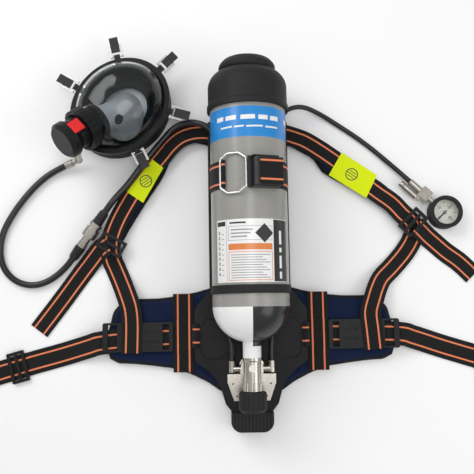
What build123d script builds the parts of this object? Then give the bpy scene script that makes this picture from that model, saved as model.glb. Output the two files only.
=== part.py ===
from build123d import *
import math
import os

# Self-contained breathing apparatus, laid on its back on a floor at z = 0.
# Millimetres, +Z up, +Y from the cylinder valve towards the rubber boot.
# The cylinder's axis lies over x = 0; the origin is on the pad's back face.

os.makedirs("parts", exist_ok=True)

# ---- driving dimensions: harness ----
PAD_T = 18.0              # waist pad thickness
PAD_END_X = 283.0         # half width of the waist pad
PLATE_T = 12.0            # moulded backplate thickness
PLATE_W = 156.0           # backplate width behind the cylinder
PLATE_TOP_Y = 430.0       # upper end of the backplate
HIP_W = 216.0             # backplate width at the hips
WEB_T = 2.0               # webbing thickness
WAIST_WEB_W = 45.0        # waist belt width
STRAP_WEB_W = 40.0        # shoulder webbing width
LADDER_T = 5.0            # waist side plate thickness
SHOULDER_T = 14.0         # padded shoulder strap thickness
# ---- driving dimensions: cylinder and valve ----
CYL_R = 70.0              # cylinder outer radius
CYL_WALL = 4.5            # cylinder wall
CYL_BASE_Y = 462.0        # where the cylinder's base dome starts
CYL_SHOULDER_Y = 66.0     # where the shoulder dome starts
SHOULDER_H = 66.0         # height of the shoulder dome
BASE_H = 40.0             # height of the base dome
NECK_R = 16.5             # cylinder neck radius
NECK_END_Y = -27.0        # end face of the neck
CRADLE_H = 8.0            # gap between backplate and cylinder
BOOT_T = 4.5              # rubber boot wall
VALVE_L = 43.5            # valve body length
NUT_L = 15.0              # gland nut length
WHEEL_R = 25.0            # handwheel radius over its ribs
WHEEL_L = 36.0            # handwheel length
STEM_R = 4.0              # valve spindle radius
PLUG_TRAVEL = 3.0         # how far the valve plug lifts
# ---- driving dimensions: hoses, mask and gauge ----
LP_D = 12.5               # medium-pressure hose diameter
HP_D = 9.5                # gauge hose diameter
GAUGE_R = 32.0            # gauge radius over its rubber cover
GAUGE_T = 26.0            # gauge thickness
MASK_A = 98.0             # mask half length, forehead to chin
MASK_B = 82.0             # mask half width
SEAL_H = 44.0             # height of the face seal
VISOR_H = 74.0            # height of the visor above the seal
PORT_R = 41.0             # outer radius of the mask's locking ring
BARREL_R = 29.0           # demand valve barrel radius
# ---- clearances ----
RUN_FIT = 0.05            # radial clearance of a running fit
GAP = 0.3                 # gap between parts that move past each other

# ---- derived levels ----
PLATE_TOP_Z = PAD_T + PLATE_T
CYL_Z = PLATE_TOP_Z + CRADLE_H + CYL_R
LOW = (Align.CENTER, Align.CENTER, Align.MIN)


def save(name, *pieces):
    """Write the solids of one node to its STEP file."""
    solids = [solid for piece in pieces for solid in piece.solids()]
    shape = solids[0] if len(solids) == 1 else Compound(children=solids)
    export_step(shape, f"parts/{name}.step")


def block(x_range, y_range, z_range):
    """A box from its low and high coordinates."""
    size = [high - low for low, high in (x_range, y_range, z_range)]
    low_corner = (x_range[0], y_range[0], z_range[0])
    return Pos(*low_corner) * Box(*size, align=(Align.MIN, Align.MIN, Align.MIN))


def rod(start, end, radius, end_radius=None):
    """A round bar, or a cone, from one point to another."""
    axis = Vector(*end) - Vector(*start)
    plane = Plane(origin=start, z_dir=axis)
    if end_radius is None or abs(end_radius - radius) < 1e-6:
        return plane * Cylinder(radius, axis.length, align=LOW)
    return plane * Cone(radius, end_radius, axis.length, align=LOW)


def turned(*outline):
    """Turn a closed outline of (radius, y) points about the cylinder's axis."""
    face = make_face(Polyline(*outline, close=True))
    return Pos(0, 0, CYL_Z) * revolve(face, Axis.Y)


def ribbon(stations, width, thickness):
    """A flat webbing strip whose underside passes through the stations."""
    sections = []
    last = len(stations) - 1
    for index, station in enumerate(stations):
        before = Vector(*stations[max(index - 1, 0)])
        after = Vector(*stations[min(index + 1, last)])
        level = Vector((after - before).X, (after - before).Y, 0).normalized()
        side = Vector(-level.Y, level.X, 0)
        plane = Plane(origin=station, x_dir=side, z_dir=level)
        sections.append(plane * Pos(0, thickness / 2) * Rectangle(width, thickness))
    return loft(sections, ruled=True)


def hose(points, diameter, label):
    """A hose of straight runs and tangent arcs through hand-chosen points."""
    spots = [Vector(*point) for point in points]
    radii = []
    for a, b, c in zip(spots, spots[1:], spots[2:]):
        turn = math.radians((b - a).get_angle(c - b))
        radii.append(0.45 * min((b - a).length, (c - b).length) / math.tan(turn / 2))
    path = FilletPolyline(*points, radius=radii)
    print(label, "length", round(path.length, 1), "radii", [round(r) for r in radii])
    plane = Plane(origin=path @ 0, z_dir=path % 0)
    tube = sweep(plane * Circle(diameter / 2), path=path)
    area = math.pi * diameter ** 2 / 4
    print(label, "volume ratio", round(tube.volume / (area * path.length), 4))
    return tube


def mirrored(points):
    """Close an outline that is symmetrical about x = 0."""
    return list(points) + [(-x, y) for x, y in reversed(points)]


# ---------------------------------------------------------------- backplate
HIP_X = HIP_W / 2
SIDE_X = PLATE_W / 2
PLATE_FOOT_Y = -133.0
plate_half = [
    (SIDE_X, PLATE_TOP_Y), (SIDE_X, 100), (HIP_X, 60), (HIP_X, -38),
    (82, -56), (66, -74), (57, -94), (50, -118), (38, PLATE_FOOT_Y),
]
plate_face = make_face(Polyline(*mirrored(plate_half), close=True))
plate = Pos(0, 0, PAD_T) * extrude(plate_face, amount=PLATE_T)
plate = fillet(plate.edges().filter_by(Axis.Z), 6)
SADDLE_HALF = 46.0
SADDLE_L = 26.0
saddle_height = CYL_Z - math.sqrt(CYL_R ** 2 - SADDLE_HALF ** 2) - PLATE_TOP_Z
for saddle_y in (125.0, 350.0):
    saddle = block(
        (-SADDLE_HALF, SADDLE_HALF), (saddle_y, saddle_y + SADDLE_L),
        (PLATE_TOP_Z - 1, PLATE_TOP_Z + saddle_height),
    )
    plate += saddle
plate -= turned((0, -20), (CYL_R, -20), (CYL_R, 480), (0, 480))
PANEL_DEPTH = 3.0
panel_half = [(84, 44), (96, 30), (96, -22), (84, -34), (56, -34), (40, -20), (40, 36), (48, 44)]
for side in (1, -1):
    panel = make_face(Polyline(*[(side * x, y) for x, y in panel_half], close=True))
    inner = offset(panel, amount=-3)
    groove = extrude(panel - inner, amount=PANEL_DEPTH)
    plate -= Pos(0, 0, PLATE_TOP_Z - PANEL_DEPTH) * groove
    slot_x = side * 102
    plate -= block((slot_x - 2.5, slot_x + 2.5), (-14, 36), (PLATE_TOP_Z - 4, PLATE_TOP_Z + 1))
HOLD_W = 44.0
plate -= block((-HOLD_W / 2, HOLD_W / 2), (388, 412), (PAD_T - 1, PLATE_TOP_Z + 1))
BOOT_RELIEF_Y = 420.0
BOOT_R = CYL_R + BOOT_T
plate -= turned((0, BOOT_RELIEF_Y), (BOOT_R + 1, BOOT_RELIEF_Y), (BOOT_R + 1, 600), (0, 600))
save("backplate", plate)

BUMPER_W = 80.0
BUMPER_L = 36.0
BUMPER_H = 44.0
bumper_y = PLATE_FOOT_Y
bumper = block((-BUMPER_W / 2, BUMPER_W / 2), (bumper_y - BUMPER_L, bumper_y), (0, BUMPER_H))
bumper = fillet(bumper.edges().filter_by(Axis.Z).group_by(Axis.Y)[0], 20)
RIB_COUNT = 12
rib_pitch = BUMPER_W / RIB_COUNT
for index in range(1, RIB_COUNT):
    rib_x = -BUMPER_W / 2 + index * rib_pitch
    bumper -= rod((rib_x, bumper_y - 200, BUMPER_H), (rib_x, bumper_y + 1, BUMPER_H), 1.2)
save("bottom_bumper", bumper)

# ---------------------------------------------------------------- waist pad
waist_half = [
    (0, 106), (76, 106), (105, 98), (143, 91), (178, 87), (231, 86), (PAD_END_X - 28, 78),
    (PAD_END_X - 14, 62), (PAD_END_X - 3, 20), (PAD_END_X, -6), (PAD_END_X - 7, -30),
    (PAD_END_X - 24, -40), (207, -46), (150, -54), (116, -66), (84, -82), (58, -100), (0, -100),
]
waist_face = make_face(Polyline(*mirrored(waist_half[1:-1]), close=True))
waist_pad = extrude(waist_face, amount=PAD_T)
waist_pad = fillet(waist_pad.edges().filter_by(Axis.Z), 5)
save("lumbar_pad", waist_pad)

BAND_X = HIP_X + 1.5
pad_bands = []
for side in (1, -1):
    centre = side * (BAND_X + STRAP_WEB_W / 2)
    over_belt = PAD_T + WEB_T
    stations = [(centre, -58, PAD_T), (centre, -24, PAD_T), (centre, -16, over_belt),
                (centre, 38, over_belt), (centre, 46, PAD_T), (centre, 92, PAD_T)]
    pad_bands.append(ribbon(stations, STRAP_WEB_W, WEB_T))
save("pad_straps", *pad_bands)

belt_z = PAD_T
ladder_z = belt_z + WEB_T
LADDER_IN = BAND_X + STRAP_WEB_W
LADDER_H = 56.0
LADDER_Y = 10.0
WINDOW_H = 48.0
ladders = []
for side in (1, -1):
    low, high = sorted((side * LADDER_IN, side * (PAD_END_X + 2)))
    y_range = (LADDER_Y - LADDER_H / 2, LADDER_Y + LADDER_H / 2)
    ladder = block((low, high), y_range, (ladder_z, ladder_z + LADDER_T))
    ladder = fillet(ladder.edges().filter_by(Axis.Z), 4)
    y_window = (LADDER_Y - WINDOW_H / 2, LADDER_Y + WINDOW_H / 2)
    for near, far in ((LADDER_IN + 8, LADDER_IN + 20), (PAD_END_X - 26, PAD_END_X - 8)):
        x_window = sorted((side * near, side * far))
        ladder -= block(x_window, y_window, (ladder_z - 1, ladder_z + LADDER_T + 1))
    x_slot = sorted((side * (LADDER_IN + 27), side * (LADDER_IN + 55)))
    for y_slot in (LADDER_Y - 9, LADDER_Y + 9):
        ladder -= block(x_slot, (y_slot - 2.5, y_slot + 2.5), (ladder_z + 2.5, ladder_z + LADDER_T + 1))
    ladders.append(ladder)
save("waist_plates", *ladders)

left_belt = [
    (-HIP_X - 1, 10, belt_z), (-LADDER_IN, 9, belt_z), (-230, 6, belt_z), (-290, 0, belt_z),
    (-312, -6, 12), (-340, -14, 3), (-372, -23, 0.4), (-430, -38, 0.4), (-500, -58, 0.4),
]
right_belt = [
    (HIP_X + 1, 12, belt_z), (LADDER_IN, 12, belt_z), (230, 11, belt_z), (290, 8, belt_z),
    (312, 2, 12), (340, -7, 3), (372, -18, 0.4), (410, -30, 0.4), (452, -43, 0.4),
]
save("waist_belt_left", ribbon(left_belt, WAIST_WEB_W, WEB_T))
save("waist_belt_right", ribbon(right_belt, WAIST_WEB_W, WEB_T))

# ------------------------------------------------------------- belt buckle
BUCKLE_W = 58.0
BUCKLE_T = 14.0
TONGUE_T = 4.0


def at_belt_end(belt):
    """A plane at the belt's free end, x along the belt, z up."""
    end = Vector(*belt[-1])
    before = Vector(*belt[-2])
    return Plane(origin=(end.X, end.Y, 0), x_dir=(end - before).normalized(), z_dir=(0, 0, 1))


tongue_plane = at_belt_end(left_belt)
tongue = block((0, 16), (-BUCKLE_W / 2 + 3, BUCKLE_W / 2 - 3), (0, 6))
tongue += block((16, 46), (-16, 16), (2, 2 + TONGUE_T))
tongue -= block((28, 38), (-9, 9), (1, 7))
tongue = fillet(tongue.edges().filter_by(Axis.Z).group_by(Axis.X)[-1], 4)
save("belt_buckle_tongue", tongue_plane * tongue)

body_plane = at_belt_end(right_belt)
BODY_L = 62.0
BUTTON_W = 24.0
BUTTON_L = 14.0
half = BUCKLE_W / 2
housing = fillet(block((0, BODY_L), (-half, half), (0, BUCKLE_T)).edges().filter_by(Axis.Z), 6)
housing -= block((18, BODY_L + 1), (-16 - GAP, 16 + GAP), (2 - GAP, 2 + TONGUE_T + GAP))
button_x = (24, 24 + BUTTON_L)
wide = (-BUTTON_W / 2 - GAP, BUTTON_W / 2 + GAP)
housing -= block((button_x[0] - GAP, button_x[1] + GAP), wide, (2, BUCKLE_T + 1))
save("belt_buckle_body", body_plane * housing)
BUTTON_TRAVEL = 3.0
button_low = 2 + TONGUE_T + GAP + BUTTON_TRAVEL + 1
button = block(button_x, (-BUTTON_W / 2, BUTTON_W / 2), (button_low, BUCKLE_T + 1.5))
save("belt_buckle_button", body_plane * button)

# ------------------------------------------------------- shoulder harness
left_outer = [
    (-62, 430), (-104, 431), (-130, 424), (-150, 414), (-174, 396), (-200, 366),
    (-226, 334), (-247, 303), (-259, 276), (-268, 252), (-274, 228), (-280, 206),
]
left_inner = [
    (-62, 386), (-94, 393), (-114, 395), (-134, 388), (-148, 374), (-154, 353),
    (-161, 333), (-179, 303), (-205, 264), (-234, 219), (-250, 198), (-264, 184),
]
right_outer = [
    (62, 428), (76, 425), (98, 418), (116, 408), (141, 393), (188, 368),
    (223, 343), (258, 316), (292, 287), (309, 267), (322, 251),
]
right_inner = [
    (62, 392), (75, 389), (105, 369), (130, 352), (145, 329), (161, 317),
    (192, 299), (235, 274), (269, 250), (292, 233), (306, 226),
]


def strap_pad(outer, inner, bottom):
    """A padded shoulder strap between its outer and inner edges."""
    outer_edge = Spline(*outer)
    inner_edge = Spline(*inner)
    ends = [Line(outer_edge @ 0, inner_edge @ 0), Line(outer_edge @ 1, inner_edge @ 1)]
    face = make_face([outer_edge, inner_edge] + ends)
    return Pos(0, 0, bottom) * extrude(face, amount=SHOULDER_T)


pad_z = 1.0
save("shoulder_pad_left", strap_pad(left_outer, left_inner, pad_z))
save("shoulder_pad_right", strap_pad(right_outer, right_inner, pad_z))
web_z = pad_z + SHOULDER_T
strap_z = web_z + 0.2
ladder_top = ladder_z + LADDER_T + 0.2
left_lower = [
    (-64, 410, strap_z), (-100, 411, strap_z), (-128, 404, strap_z), (-150, 388, strap_z),
    (-172, 362, strap_z), (-205, 322, strap_z), (-229, 286, strap_z), (-252, 246, strap_z), (-265, 216, strap_z),
    (-270, 196, strap_z), (-271, 178, strap_z), (-269, 160, 7), (-263, 144, 2), (-253, 121, 5), (-241, 95, PAD_T + 1),
    (-231, 66, ladder_top), (-228, 33, ladder_top), (-229, -20, ladder_top),
]
right_lower = [
    (64, 408, strap_z), (100, 396, strap_z), (121, 386, strap_z), (158, 361, strap_z),
    (205, 325, strap_z), (250, 288, strap_z), (282, 262, strap_z), (302, 242, strap_z), (318, 226, strap_z),
    (325, 208, 9), (321, 190, 3), (306, 166, 2), (281, 138, 3), (259, 117, 9), (247, 98, PAD_T + 1),
    (238, 76, ladder_top), (231, 50, ladder_top), (233, 20, ladder_top), (236, -20, ladder_top),
]
left_tail = [(-299, 174, 7), (-314, 155, 3), (-330, 135, 0.4), (-370, 81, 0.4), (-413, 25, 0.4)]
right_tail = [(350, 200, 3), (366, 184, 0.4), (388, 165, 0.4), (414, 145, 0.4), (440, 119, 0.4)]
save("shoulder_strap_left", ribbon(left_lower, STRAP_WEB_W, WEB_T),
     ribbon(left_tail, STRAP_WEB_W, WEB_T))
save("shoulder_strap_right", ribbon(right_lower, STRAP_WEB_W, WEB_T),
     ribbon(right_tail, STRAP_WEB_W, WEB_T))

patch_corners = {
    "left": [(-188, 358), (-167, 341), (-207, 272), (-239, 294)],
    "right": [(187, 366), (255, 319), (232, 274), (160, 321)],
}
PATCH_T = 1.2
patches = []
for corners in patch_corners.values():
    patch_face = make_face(Polyline(*corners, close=True))
    patches.append(Pos(0, 0, strap_z + WEB_T) * extrude(patch_face, amount=PATCH_T))
save("chest_patches", *patches)

# Three-bar sliders: one on the left waist belt, one on each shoulder strap.


def slider(width, bar=6.0, length=34.0, thickness=4.0):
    """A moulded three-bar slider lying flat, x across the webbing."""
    outer = width + 2 * bar
    frame = Box(outer, length, thickness, align=LOW)
    opening = (length - 3 * bar) / 2
    for sign in (1, -1):
        y = sign * (bar + opening) / 2
        frame -= Pos(0, y, -1) * Box(width, opening, thickness + 2, align=LOW)
    return fillet(frame.edges().filter_by(Axis.Z).group_by(Axis.Y)[-1], 3)


slider_spots = [
    (WAIST_WEB_W + 3, (-452, -44), (-0.968, -0.25), 2.6),
    (STRAP_WEB_W + 1, (-269, 190), (-0.5, -0.87), strap_z + WEB_T + 0.2),
    (STRAP_WEB_W + 1, (322, 224), (0.7, -0.7), strap_z + WEB_T + 0.2),
]
sliders = []
for width, spot, along, level in slider_spots:
    spot_plane = Plane(origin=(*spot, level), x_dir=(along[1], -along[0], 0), z_dir=(0, 0, 1))
    sliders.append(spot_plane * slider(width))
save("strap_sliders", *sliders)

# ----------------------------------------------------------------- cylinder



def dome(radius, height, centre_y, end_radius, towards):
    """A quarter ellipse from the wall radius to end_radius, as a spline of its formula."""
    stop = math.acos(end_radius / radius)
    steps = 7
    angles = [stop * index / steps for index in range(steps + 1)]
    return [(radius * math.cos(a), centre_y + towards * height * math.sin(a)) for a in angles]


NECK_BORE = 9.0
inner_r = CYL_R - CYL_WALL
outer_shoulder = dome(CYL_R, SHOULDER_H, CYL_SHOULDER_Y, NECK_R, -1)
inner_shoulder = dome(inner_r, SHOULDER_H - CYL_WALL, CYL_SHOULDER_Y, NECK_BORE, -1)
outer_base = dome(CYL_R, BASE_H, CYL_BASE_Y, 0.001, 1)
inner_base = dome(inner_r, BASE_H - CYL_WALL, CYL_BASE_Y, 0.001, 1)
outer_end = (0, CYL_BASE_Y + BASE_H)
inner_end = (0, CYL_BASE_Y + BASE_H - CYL_WALL)
shell_edges = [
    Spline(*outer_base[:-1], outer_end),
    Line(outer_base[0], outer_shoulder[0]),
    Spline(*outer_shoulder),
    Line(outer_shoulder[-1], (NECK_R, NECK_END_Y)),
    Line((NECK_R, NECK_END_Y), (NECK_BORE, NECK_END_Y)),
    Line((NECK_BORE, NECK_END_Y), inner_shoulder[-1]),
    Spline(*reversed(inner_shoulder)),
    Line(inner_shoulder[0], inner_base[0]),
    Spline(*inner_base[:-1], inner_end),
    Line(inner_end, outer_end),
]
shell = Pos(0, 0, CYL_Z) * revolve(make_face(shell_edges), Axis.Y)
save("cylinder_shell", shell)

LIP_Y = 424.0
STEP_Y = CYL_BASE_Y + 26
boot_edges = [
    Line((CYL_R, LIP_Y), (BOOT_R + 1, LIP_Y)),
    Line((BOOT_R + 1, LIP_Y), (BOOT_R + 1, LIP_Y + 9)),
    Line((BOOT_R + 1, LIP_Y + 9), (BOOT_R - 1, LIP_Y + 12)),
    Line((BOOT_R - 1, LIP_Y + 12), (BOOT_R - 1, CYL_BASE_Y + 2)),
    ThreePointArc((BOOT_R - 1, CYL_BASE_Y + 2), (BOOT_R - 8, STEP_Y), (50, STEP_Y + 12)),
    ThreePointArc((50, STEP_Y + 12), (53, STEP_Y + 20), (49, STEP_Y + 28)),
    ThreePointArc((49, STEP_Y + 28), (43, STEP_Y + 34), (34, STEP_Y + 36)),
    Line((34, STEP_Y + 36), (0, STEP_Y + 36)),
    Line((0, STEP_Y + 36), outer_end),
    Spline(*outer_base[:-1], outer_end),
    Line(outer_base[0], (CYL_R, LIP_Y)),
]
boot = Pos(0, 0, CYL_Z) * revolve(make_face(boot_edges), Axis.Y)
save("cylinder_boot", boot)

BAND_T = 3.0
save("cylinder_band", turned((CYL_R, 87), (CYL_R + BAND_T, 87), (CYL_R + BAND_T, 102), (CYL_R, 102)))

# ------------------------------------------- cylinder strap, link and buckle
CSTRAP_W = 50.0
CSTRAP_Y = 297.0
STRAP_IN = CYL_R
STRAP_OUT = CYL_R + WEB_T


def wrap(start_deg, end_deg):
    """Webbing on the cylinder between two angles, from +X towards +Z."""
    angles = [start_deg, (start_deg + end_deg) / 2, end_deg]
    spots = [math.radians(angle) for angle in angles]
    inside = [(STRAP_IN * math.cos(a), STRAP_IN * math.sin(a)) for a in spots]
    outside = [(STRAP_OUT * math.cos(a), STRAP_OUT * math.sin(a)) for a in spots]
    edges = [
        ThreePointArc(*inside), ThreePointArc(*outside),
        Line(inside[0], outside[0]), Line(inside[-1], outside[-1]),
    ]
    plane = Plane(origin=(0, CSTRAP_Y + CSTRAP_W / 2, CYL_Z), x_dir=(1, 0, 0), z_dir=(0, -1, 0))
    return extrude(plane * make_face(edges), amount=CSTRAP_W)


strap_y = (CSTRAP_Y - CSTRAP_W / 2, CSTRAP_Y + CSTRAP_W / 2)
right_drop = block((STRAP_IN, STRAP_OUT), strap_y, (PLATE_TOP_Z, CYL_Z))
left_drop = block((-STRAP_OUT, -STRAP_IN), strap_y, (PLATE_TOP_Z, CYL_Z))
cylinder_strap = (right_drop + wrap(0, 42)) , (left_drop + wrap(133, 180))
save("cylinder_strap", *cylinder_strap)


def on_cylinder(lean_deg, height):
    """A plane tangent to the cylinder, leaning from +Z towards +X; x runs round it."""
    lean = math.radians(lean_deg)
    normal = Vector(math.sin(lean), 0, math.cos(lean))
    around = Vector(math.cos(lean), 0, -math.sin(lean))
    spot = Vector(0, CSTRAP_Y, CYL_Z) + normal * (CYL_R + height)
    return Plane(origin=spot, x_dir=around, z_dir=normal)


WIRE_R = 2.0
LINK_LEAN = -22.0
link_plane = on_cylinder(LINK_LEAN, WIRE_R + 2.6)
link_points = [(-25, -25), (-12, -35), (10, -35), (24, -25), (24, 25), (10, 35), (-12, 35), (-25, 25)]
link_path = FilletPolyline(*link_points, radius=5, close=True)
link_edges = [link_plane * edge for edge in link_path.edges()]
link_wire = Wire(link_edges)
link_start = Plane(origin=link_wire @ 0, z_dir=link_wire % 0)
save("strap_link", sweep(link_start * Circle(WIRE_R), path=link_wire))

BUCKLE_LEAN = 20.0
BASE_L = 60.0
CHEEK_H = 15.0
CHEEK_T = 2.0
base_plane = on_cylinder(BUCKLE_LEAN, WEB_T + 0.6)
half_base = CSTRAP_W / 2 + 1
buckle_base = Box(BASE_L, 2 * half_base + 2 * CHEEK_T, 2, align=LOW)
PIN_X = -16.0
PIN_Z = 9.0
PIN_R = 2.5
for side in (1, -1):
    y = side * (half_base + CHEEK_T / 2)
    buckle_base += Pos(0, y, 0) * Box(BASE_L - 12, CHEEK_T, CHEEK_H, align=LOW)
buckle_base += rod((PIN_X, -half_base - 1, PIN_Z), (PIN_X, half_base + 1, PIN_Z), PIN_R)
save("cam_buckle_base", base_plane * buckle_base)
EYE_R = 6.0
LEVER_L = 46.0
lever_half = half_base - 1
eye = rod((PIN_X, -lever_half, PIN_Z), (PIN_X, lever_half, PIN_Z), EYE_R)
lever_top = PIN_Z + EYE_R
lever = eye + block((PIN_X, PIN_X + LEVER_L), (-lever_half, lever_half), (lever_top - 3, lever_top))
lever += rod((PIN_X + LEVER_L, -lever_half, lever_top - 2), (PIN_X + LEVER_L, lever_half, lever_top - 2), 2)
lever -= rod((PIN_X, -lever_half - 1, PIN_Z), (PIN_X, lever_half + 1, PIN_Z), PIN_R + RUN_FIT)
save("cam_buckle_lever", base_plane * lever)

# --------------------------------------------------------- cylinder valve
VALVE_R = 15.5
VALVE_END_Y = NECK_END_Y - VALVE_L
PLUG_R = 5.0
SEAT_Y = NECK_END_Y - 17
valve = turned((0, NECK_END_Y), (17.5, NECK_END_Y), (17.5, NECK_END_Y - 5), (VALVE_R, NECK_END_Y - 7),
               (VALVE_R, VALVE_END_Y), (0, VALVE_END_Y))
valve += turned((0, 6), (NECK_BORE, 6), (NECK_BORE, NECK_END_Y - 1), (0, NECK_END_Y - 1))
OUTLET_Y = NECK_END_Y - 23
OUTLET_Z = CYL_Z - 34
OUTLET_R = 12.0
valve += rod((0, OUTLET_Y, CYL_Z), (0, OUTLET_Y, OUTLET_Z), OUTLET_R)
bore_r = PLUG_R + RUN_FIT
valve -= turned((0, SEAT_Y), (bore_r, SEAT_Y), (bore_r, VALVE_END_Y - 1), (0, VALVE_END_Y - 1))
valve -= turned((0, 8), (3, 8), (3, SEAT_Y - 1), (0, SEAT_Y - 1))
valve -= rod((0, OUTLET_Y, CYL_Z), (0, OUTLET_Y, OUTLET_Z - 1), 3)
BURST_Y = NECK_END_Y - 18
BURST_R = 6.5
burst_low = CYL_Z + VALVE_R - 4
burst_high = CYL_Z + VALVE_R + 5
valve -= rod((0, BURST_Y, burst_low), (0, BURST_Y, burst_high + 5), BURST_R)
save("valve_body", valve)
burst = rod((0, BURST_Y, burst_low), (0, BURST_Y, burst_high), BURST_R)
burst -= Pos(0, BURST_Y, burst_high - 2) * Cylinder(2.5, 3, align=LOW)
save("burst_disc_plug", burst)
NUT_R = 17.0
NUT_END_Y = VALVE_END_Y - NUT_L
stem_bore = STEM_R + RUN_FIT
nut = turned((stem_bore, VALVE_END_Y), (NUT_R, VALVE_END_Y), (NUT_R, NUT_END_Y), (stem_bore, NUT_END_Y))
NUT_FLUTES = 12
for index in range(NUT_FLUTES):
    turn = 2 * math.pi * index / NUT_FLUTES
    x = (NUT_R + 1) * math.cos(turn)
    z = CYL_Z + (NUT_R + 1) * math.sin(turn)
    nut -= rod((x, VALVE_END_Y + 1, z), (x, NUT_END_Y - 1, z), 2)
save("gland_nut", nut)
TANG_R = 2.5
HOLE_L = 8.0
plug_low = SEAT_Y - 14
tang_end = SEAT_Y - 14 + HOLE_L - PLUG_TRAVEL - 1
stem_shoulder = plug_low - PLUG_TRAVEL - 1
wheel_start = NUT_END_Y - 1.5
wheel_end = wheel_start - WHEEL_L
spindle = turned((0, tang_end), (TANG_R, tang_end), (TANG_R, stem_shoulder), (STEM_R, stem_shoulder),
                 (STEM_R, wheel_end + 8), (0, wheel_end + 8))
save("valve_spindle", spindle)
hole_top = plug_low + HOLE_L
hole_r = TANG_R + RUN_FIT
plug = turned((0, SEAT_Y - 0.2), (PLUG_R, SEAT_Y - 0.2), (PLUG_R, plug_low), (hole_r, plug_low),
              (hole_r, hole_top), (0, hole_top))
save("valve_plug", plug)
wheel = turned((STEM_R, wheel_start), (WHEEL_R - 2, wheel_start), (WHEEL_R, wheel_start - 3),
               (WHEEL_R, wheel_end + 5), (WHEEL_R - 5, wheel_end), (0, wheel_end),
               (0, wheel_end + 8), (STEM_R, wheel_end + 8))
WHEEL_FLUTES = 16
for index in range(WHEEL_FLUTES):
    turn = 2 * math.pi * index / WHEEL_FLUTES
    x = (WHEEL_R + 1) * math.cos(turn)
    z = CYL_Z + (WHEEL_R + 1) * math.sin(turn)
    wheel -= rod((x, wheel_start + 1, z), (x, wheel_end + 7, z), 2.4)
save("handwheel", wheel)

# ------------------------------------------------------------- reducer
REDUCER_R = 21.0
bracket_z = PLATE_TOP_Z
BRACKET_T = 3.0
reducer_low = bracket_z + BRACKET_T
BORE_R = 12.0
PISTON_TRAVEL = 1.5
reducer = rod((0, OUTLET_Y, reducer_low), (0, OUTLET_Y, OUTLET_Z), REDUCER_R)
bore_low = reducer_low + 5
bore_high = OUTLET_Z - 8
reducer -= rod((0, OUTLET_Y, bore_low), (0, OUTLET_Y, bore_high), BORE_R + RUN_FIT)
reducer -= rod((0, OUTLET_Y, bore_high - 1), (0, OUTLET_Y, OUTLET_Z + 1), 3)
save("reducer_body", reducer)
piston = rod((0, OUTLET_Y, bore_high - 12), (0, OUTLET_Y, bore_high - 3), BORE_R)
piston += rod((0, OUTLET_Y, bore_low + 6), (0, OUTLET_Y, bore_high - 10), 4)
save("reducer_piston", piston)
bracket_half = [(46, -62), (46, -78), (34, -112), (16, -112)]
bracket_face = make_face(Polyline(*mirrored(bracket_half), close=True))
bracket = Pos(0, 0, bracket_z) * extrude(bracket_face, amount=BRACKET_T)
bracket += rod((0, OUTLET_Y, bracket_z), (0, OUTLET_Y, bracket_z + BRACKET_T), REDUCER_R + 3)
screw_spots = [(-36, -80), (36, -80), (-28, -103), (28, -103)]
HEAD_R = 3.6
SCREW_R = 2.0
screws = []
for x, y in screw_spots:
    shaft_low = bracket_z
    screw = rod((x, y, shaft_low), (x, y, bracket_z + BRACKET_T), SCREW_R)
    screw += rod((x, y, bracket_z + BRACKET_T), (x, y, bracket_z + BRACKET_T + 2.2), HEAD_R)
    bracket -= rod((x, y, bracket_z - 1), (x, y, bracket_z + BRACKET_T + 1), SCREW_R)
    screws.append(screw)
save("bracket_plate", bracket)
save("bracket_screws", *screws)
FITTING_Z = 52.0
FITTING_L = 16.0
fittings = []
for side in (1, -1):
    start = (side * REDUCER_R * 0.9, OUTLET_Y, FITTING_Z)
    bend = (side * (REDUCER_R + FITTING_L), OUTLET_Y, FITTING_Z)
    fitting = rod(start, bend, 6) - rod((0, OUTLET_Y, reducer_low), (0, OUTLET_Y, OUTLET_Z), REDUCER_R)
    knuckle = rod((bend[0], OUTLET_Y - 7, FITTING_Z), (bend[0], OUTLET_Y + 14, FITTING_Z), 6.5)
    fittings.append(fitting + knuckle)
save("reducer_fittings", *fittings)

# ------------------------------------- medium-pressure hose on the harness
FIT_X = REDUCER_R + FITTING_L
hose_start_y = OUTLET_Y + 14
COUPLING_START = Vector(-281, 254, 24)
COUPLING_END = Vector(-349, 162, 10)
coupling_dir = (COUPLING_END - COUPLING_START).normalized()


def along(distance):
    """A point on the coupling's axis, as a tuple."""
    spot = COUPLING_START + coupling_dir * distance
    return (spot.X, spot.Y, spot.Z)


held_points = [
    (-FIT_X, hose_start_y, FITTING_Z), (-FIT_X, -4, FITTING_Z), (-45, 36, 44), (-57, 96, 39),
    (-56, 190, 38.5), (-57, 280, 39), (-58, 346, 41), (-58, 389, 42), (-77, 418, 40),
    (-109, 430, 34), (-142, 422, 27.5), (-168, 394, 24), (-190, 368, 23.8), (-212, 340, 23.8),
    (-234, 310, 23.8), along(-26), along(0),
]
save("lp_hose_held", hose(held_points, LP_D, "held hose"))
BOOT_LEN = 28.0
FAR_BOOT = 83.0
hose_r = LP_D / 2
upper_boot = rod(along(0), along(BOOT_LEN), hose_r + 2.2, hose_r + 3.6)
lower_boot = rod(along(FAR_BOOT), along(FAR_BOOT + BOOT_LEN), hose_r + 3.6, hose_r + 2.2)
save("hose_boots", upper_boot, lower_boot)
SOCKET_R = 11.0
SOCKET_END = 60.0
SLEEVE_R = 14.0
SLEEVE_START = 40.0
SLEEVE_TRAVEL = 5.0
socket = rod(along(BOOT_LEN), along(SOCKET_END), SOCKET_R)
socket += rod(along(BOOT_LEN), along(BOOT_LEN + 6), SOCKET_R + 2)
socket -= rod(along(38), along(SOCKET_END + 1), 6 + RUN_FIT)
save("coupling_socket", socket)
sleeve = rod(along(SLEEVE_START), along(SOCKET_END - 1), SLEEVE_R)
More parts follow.
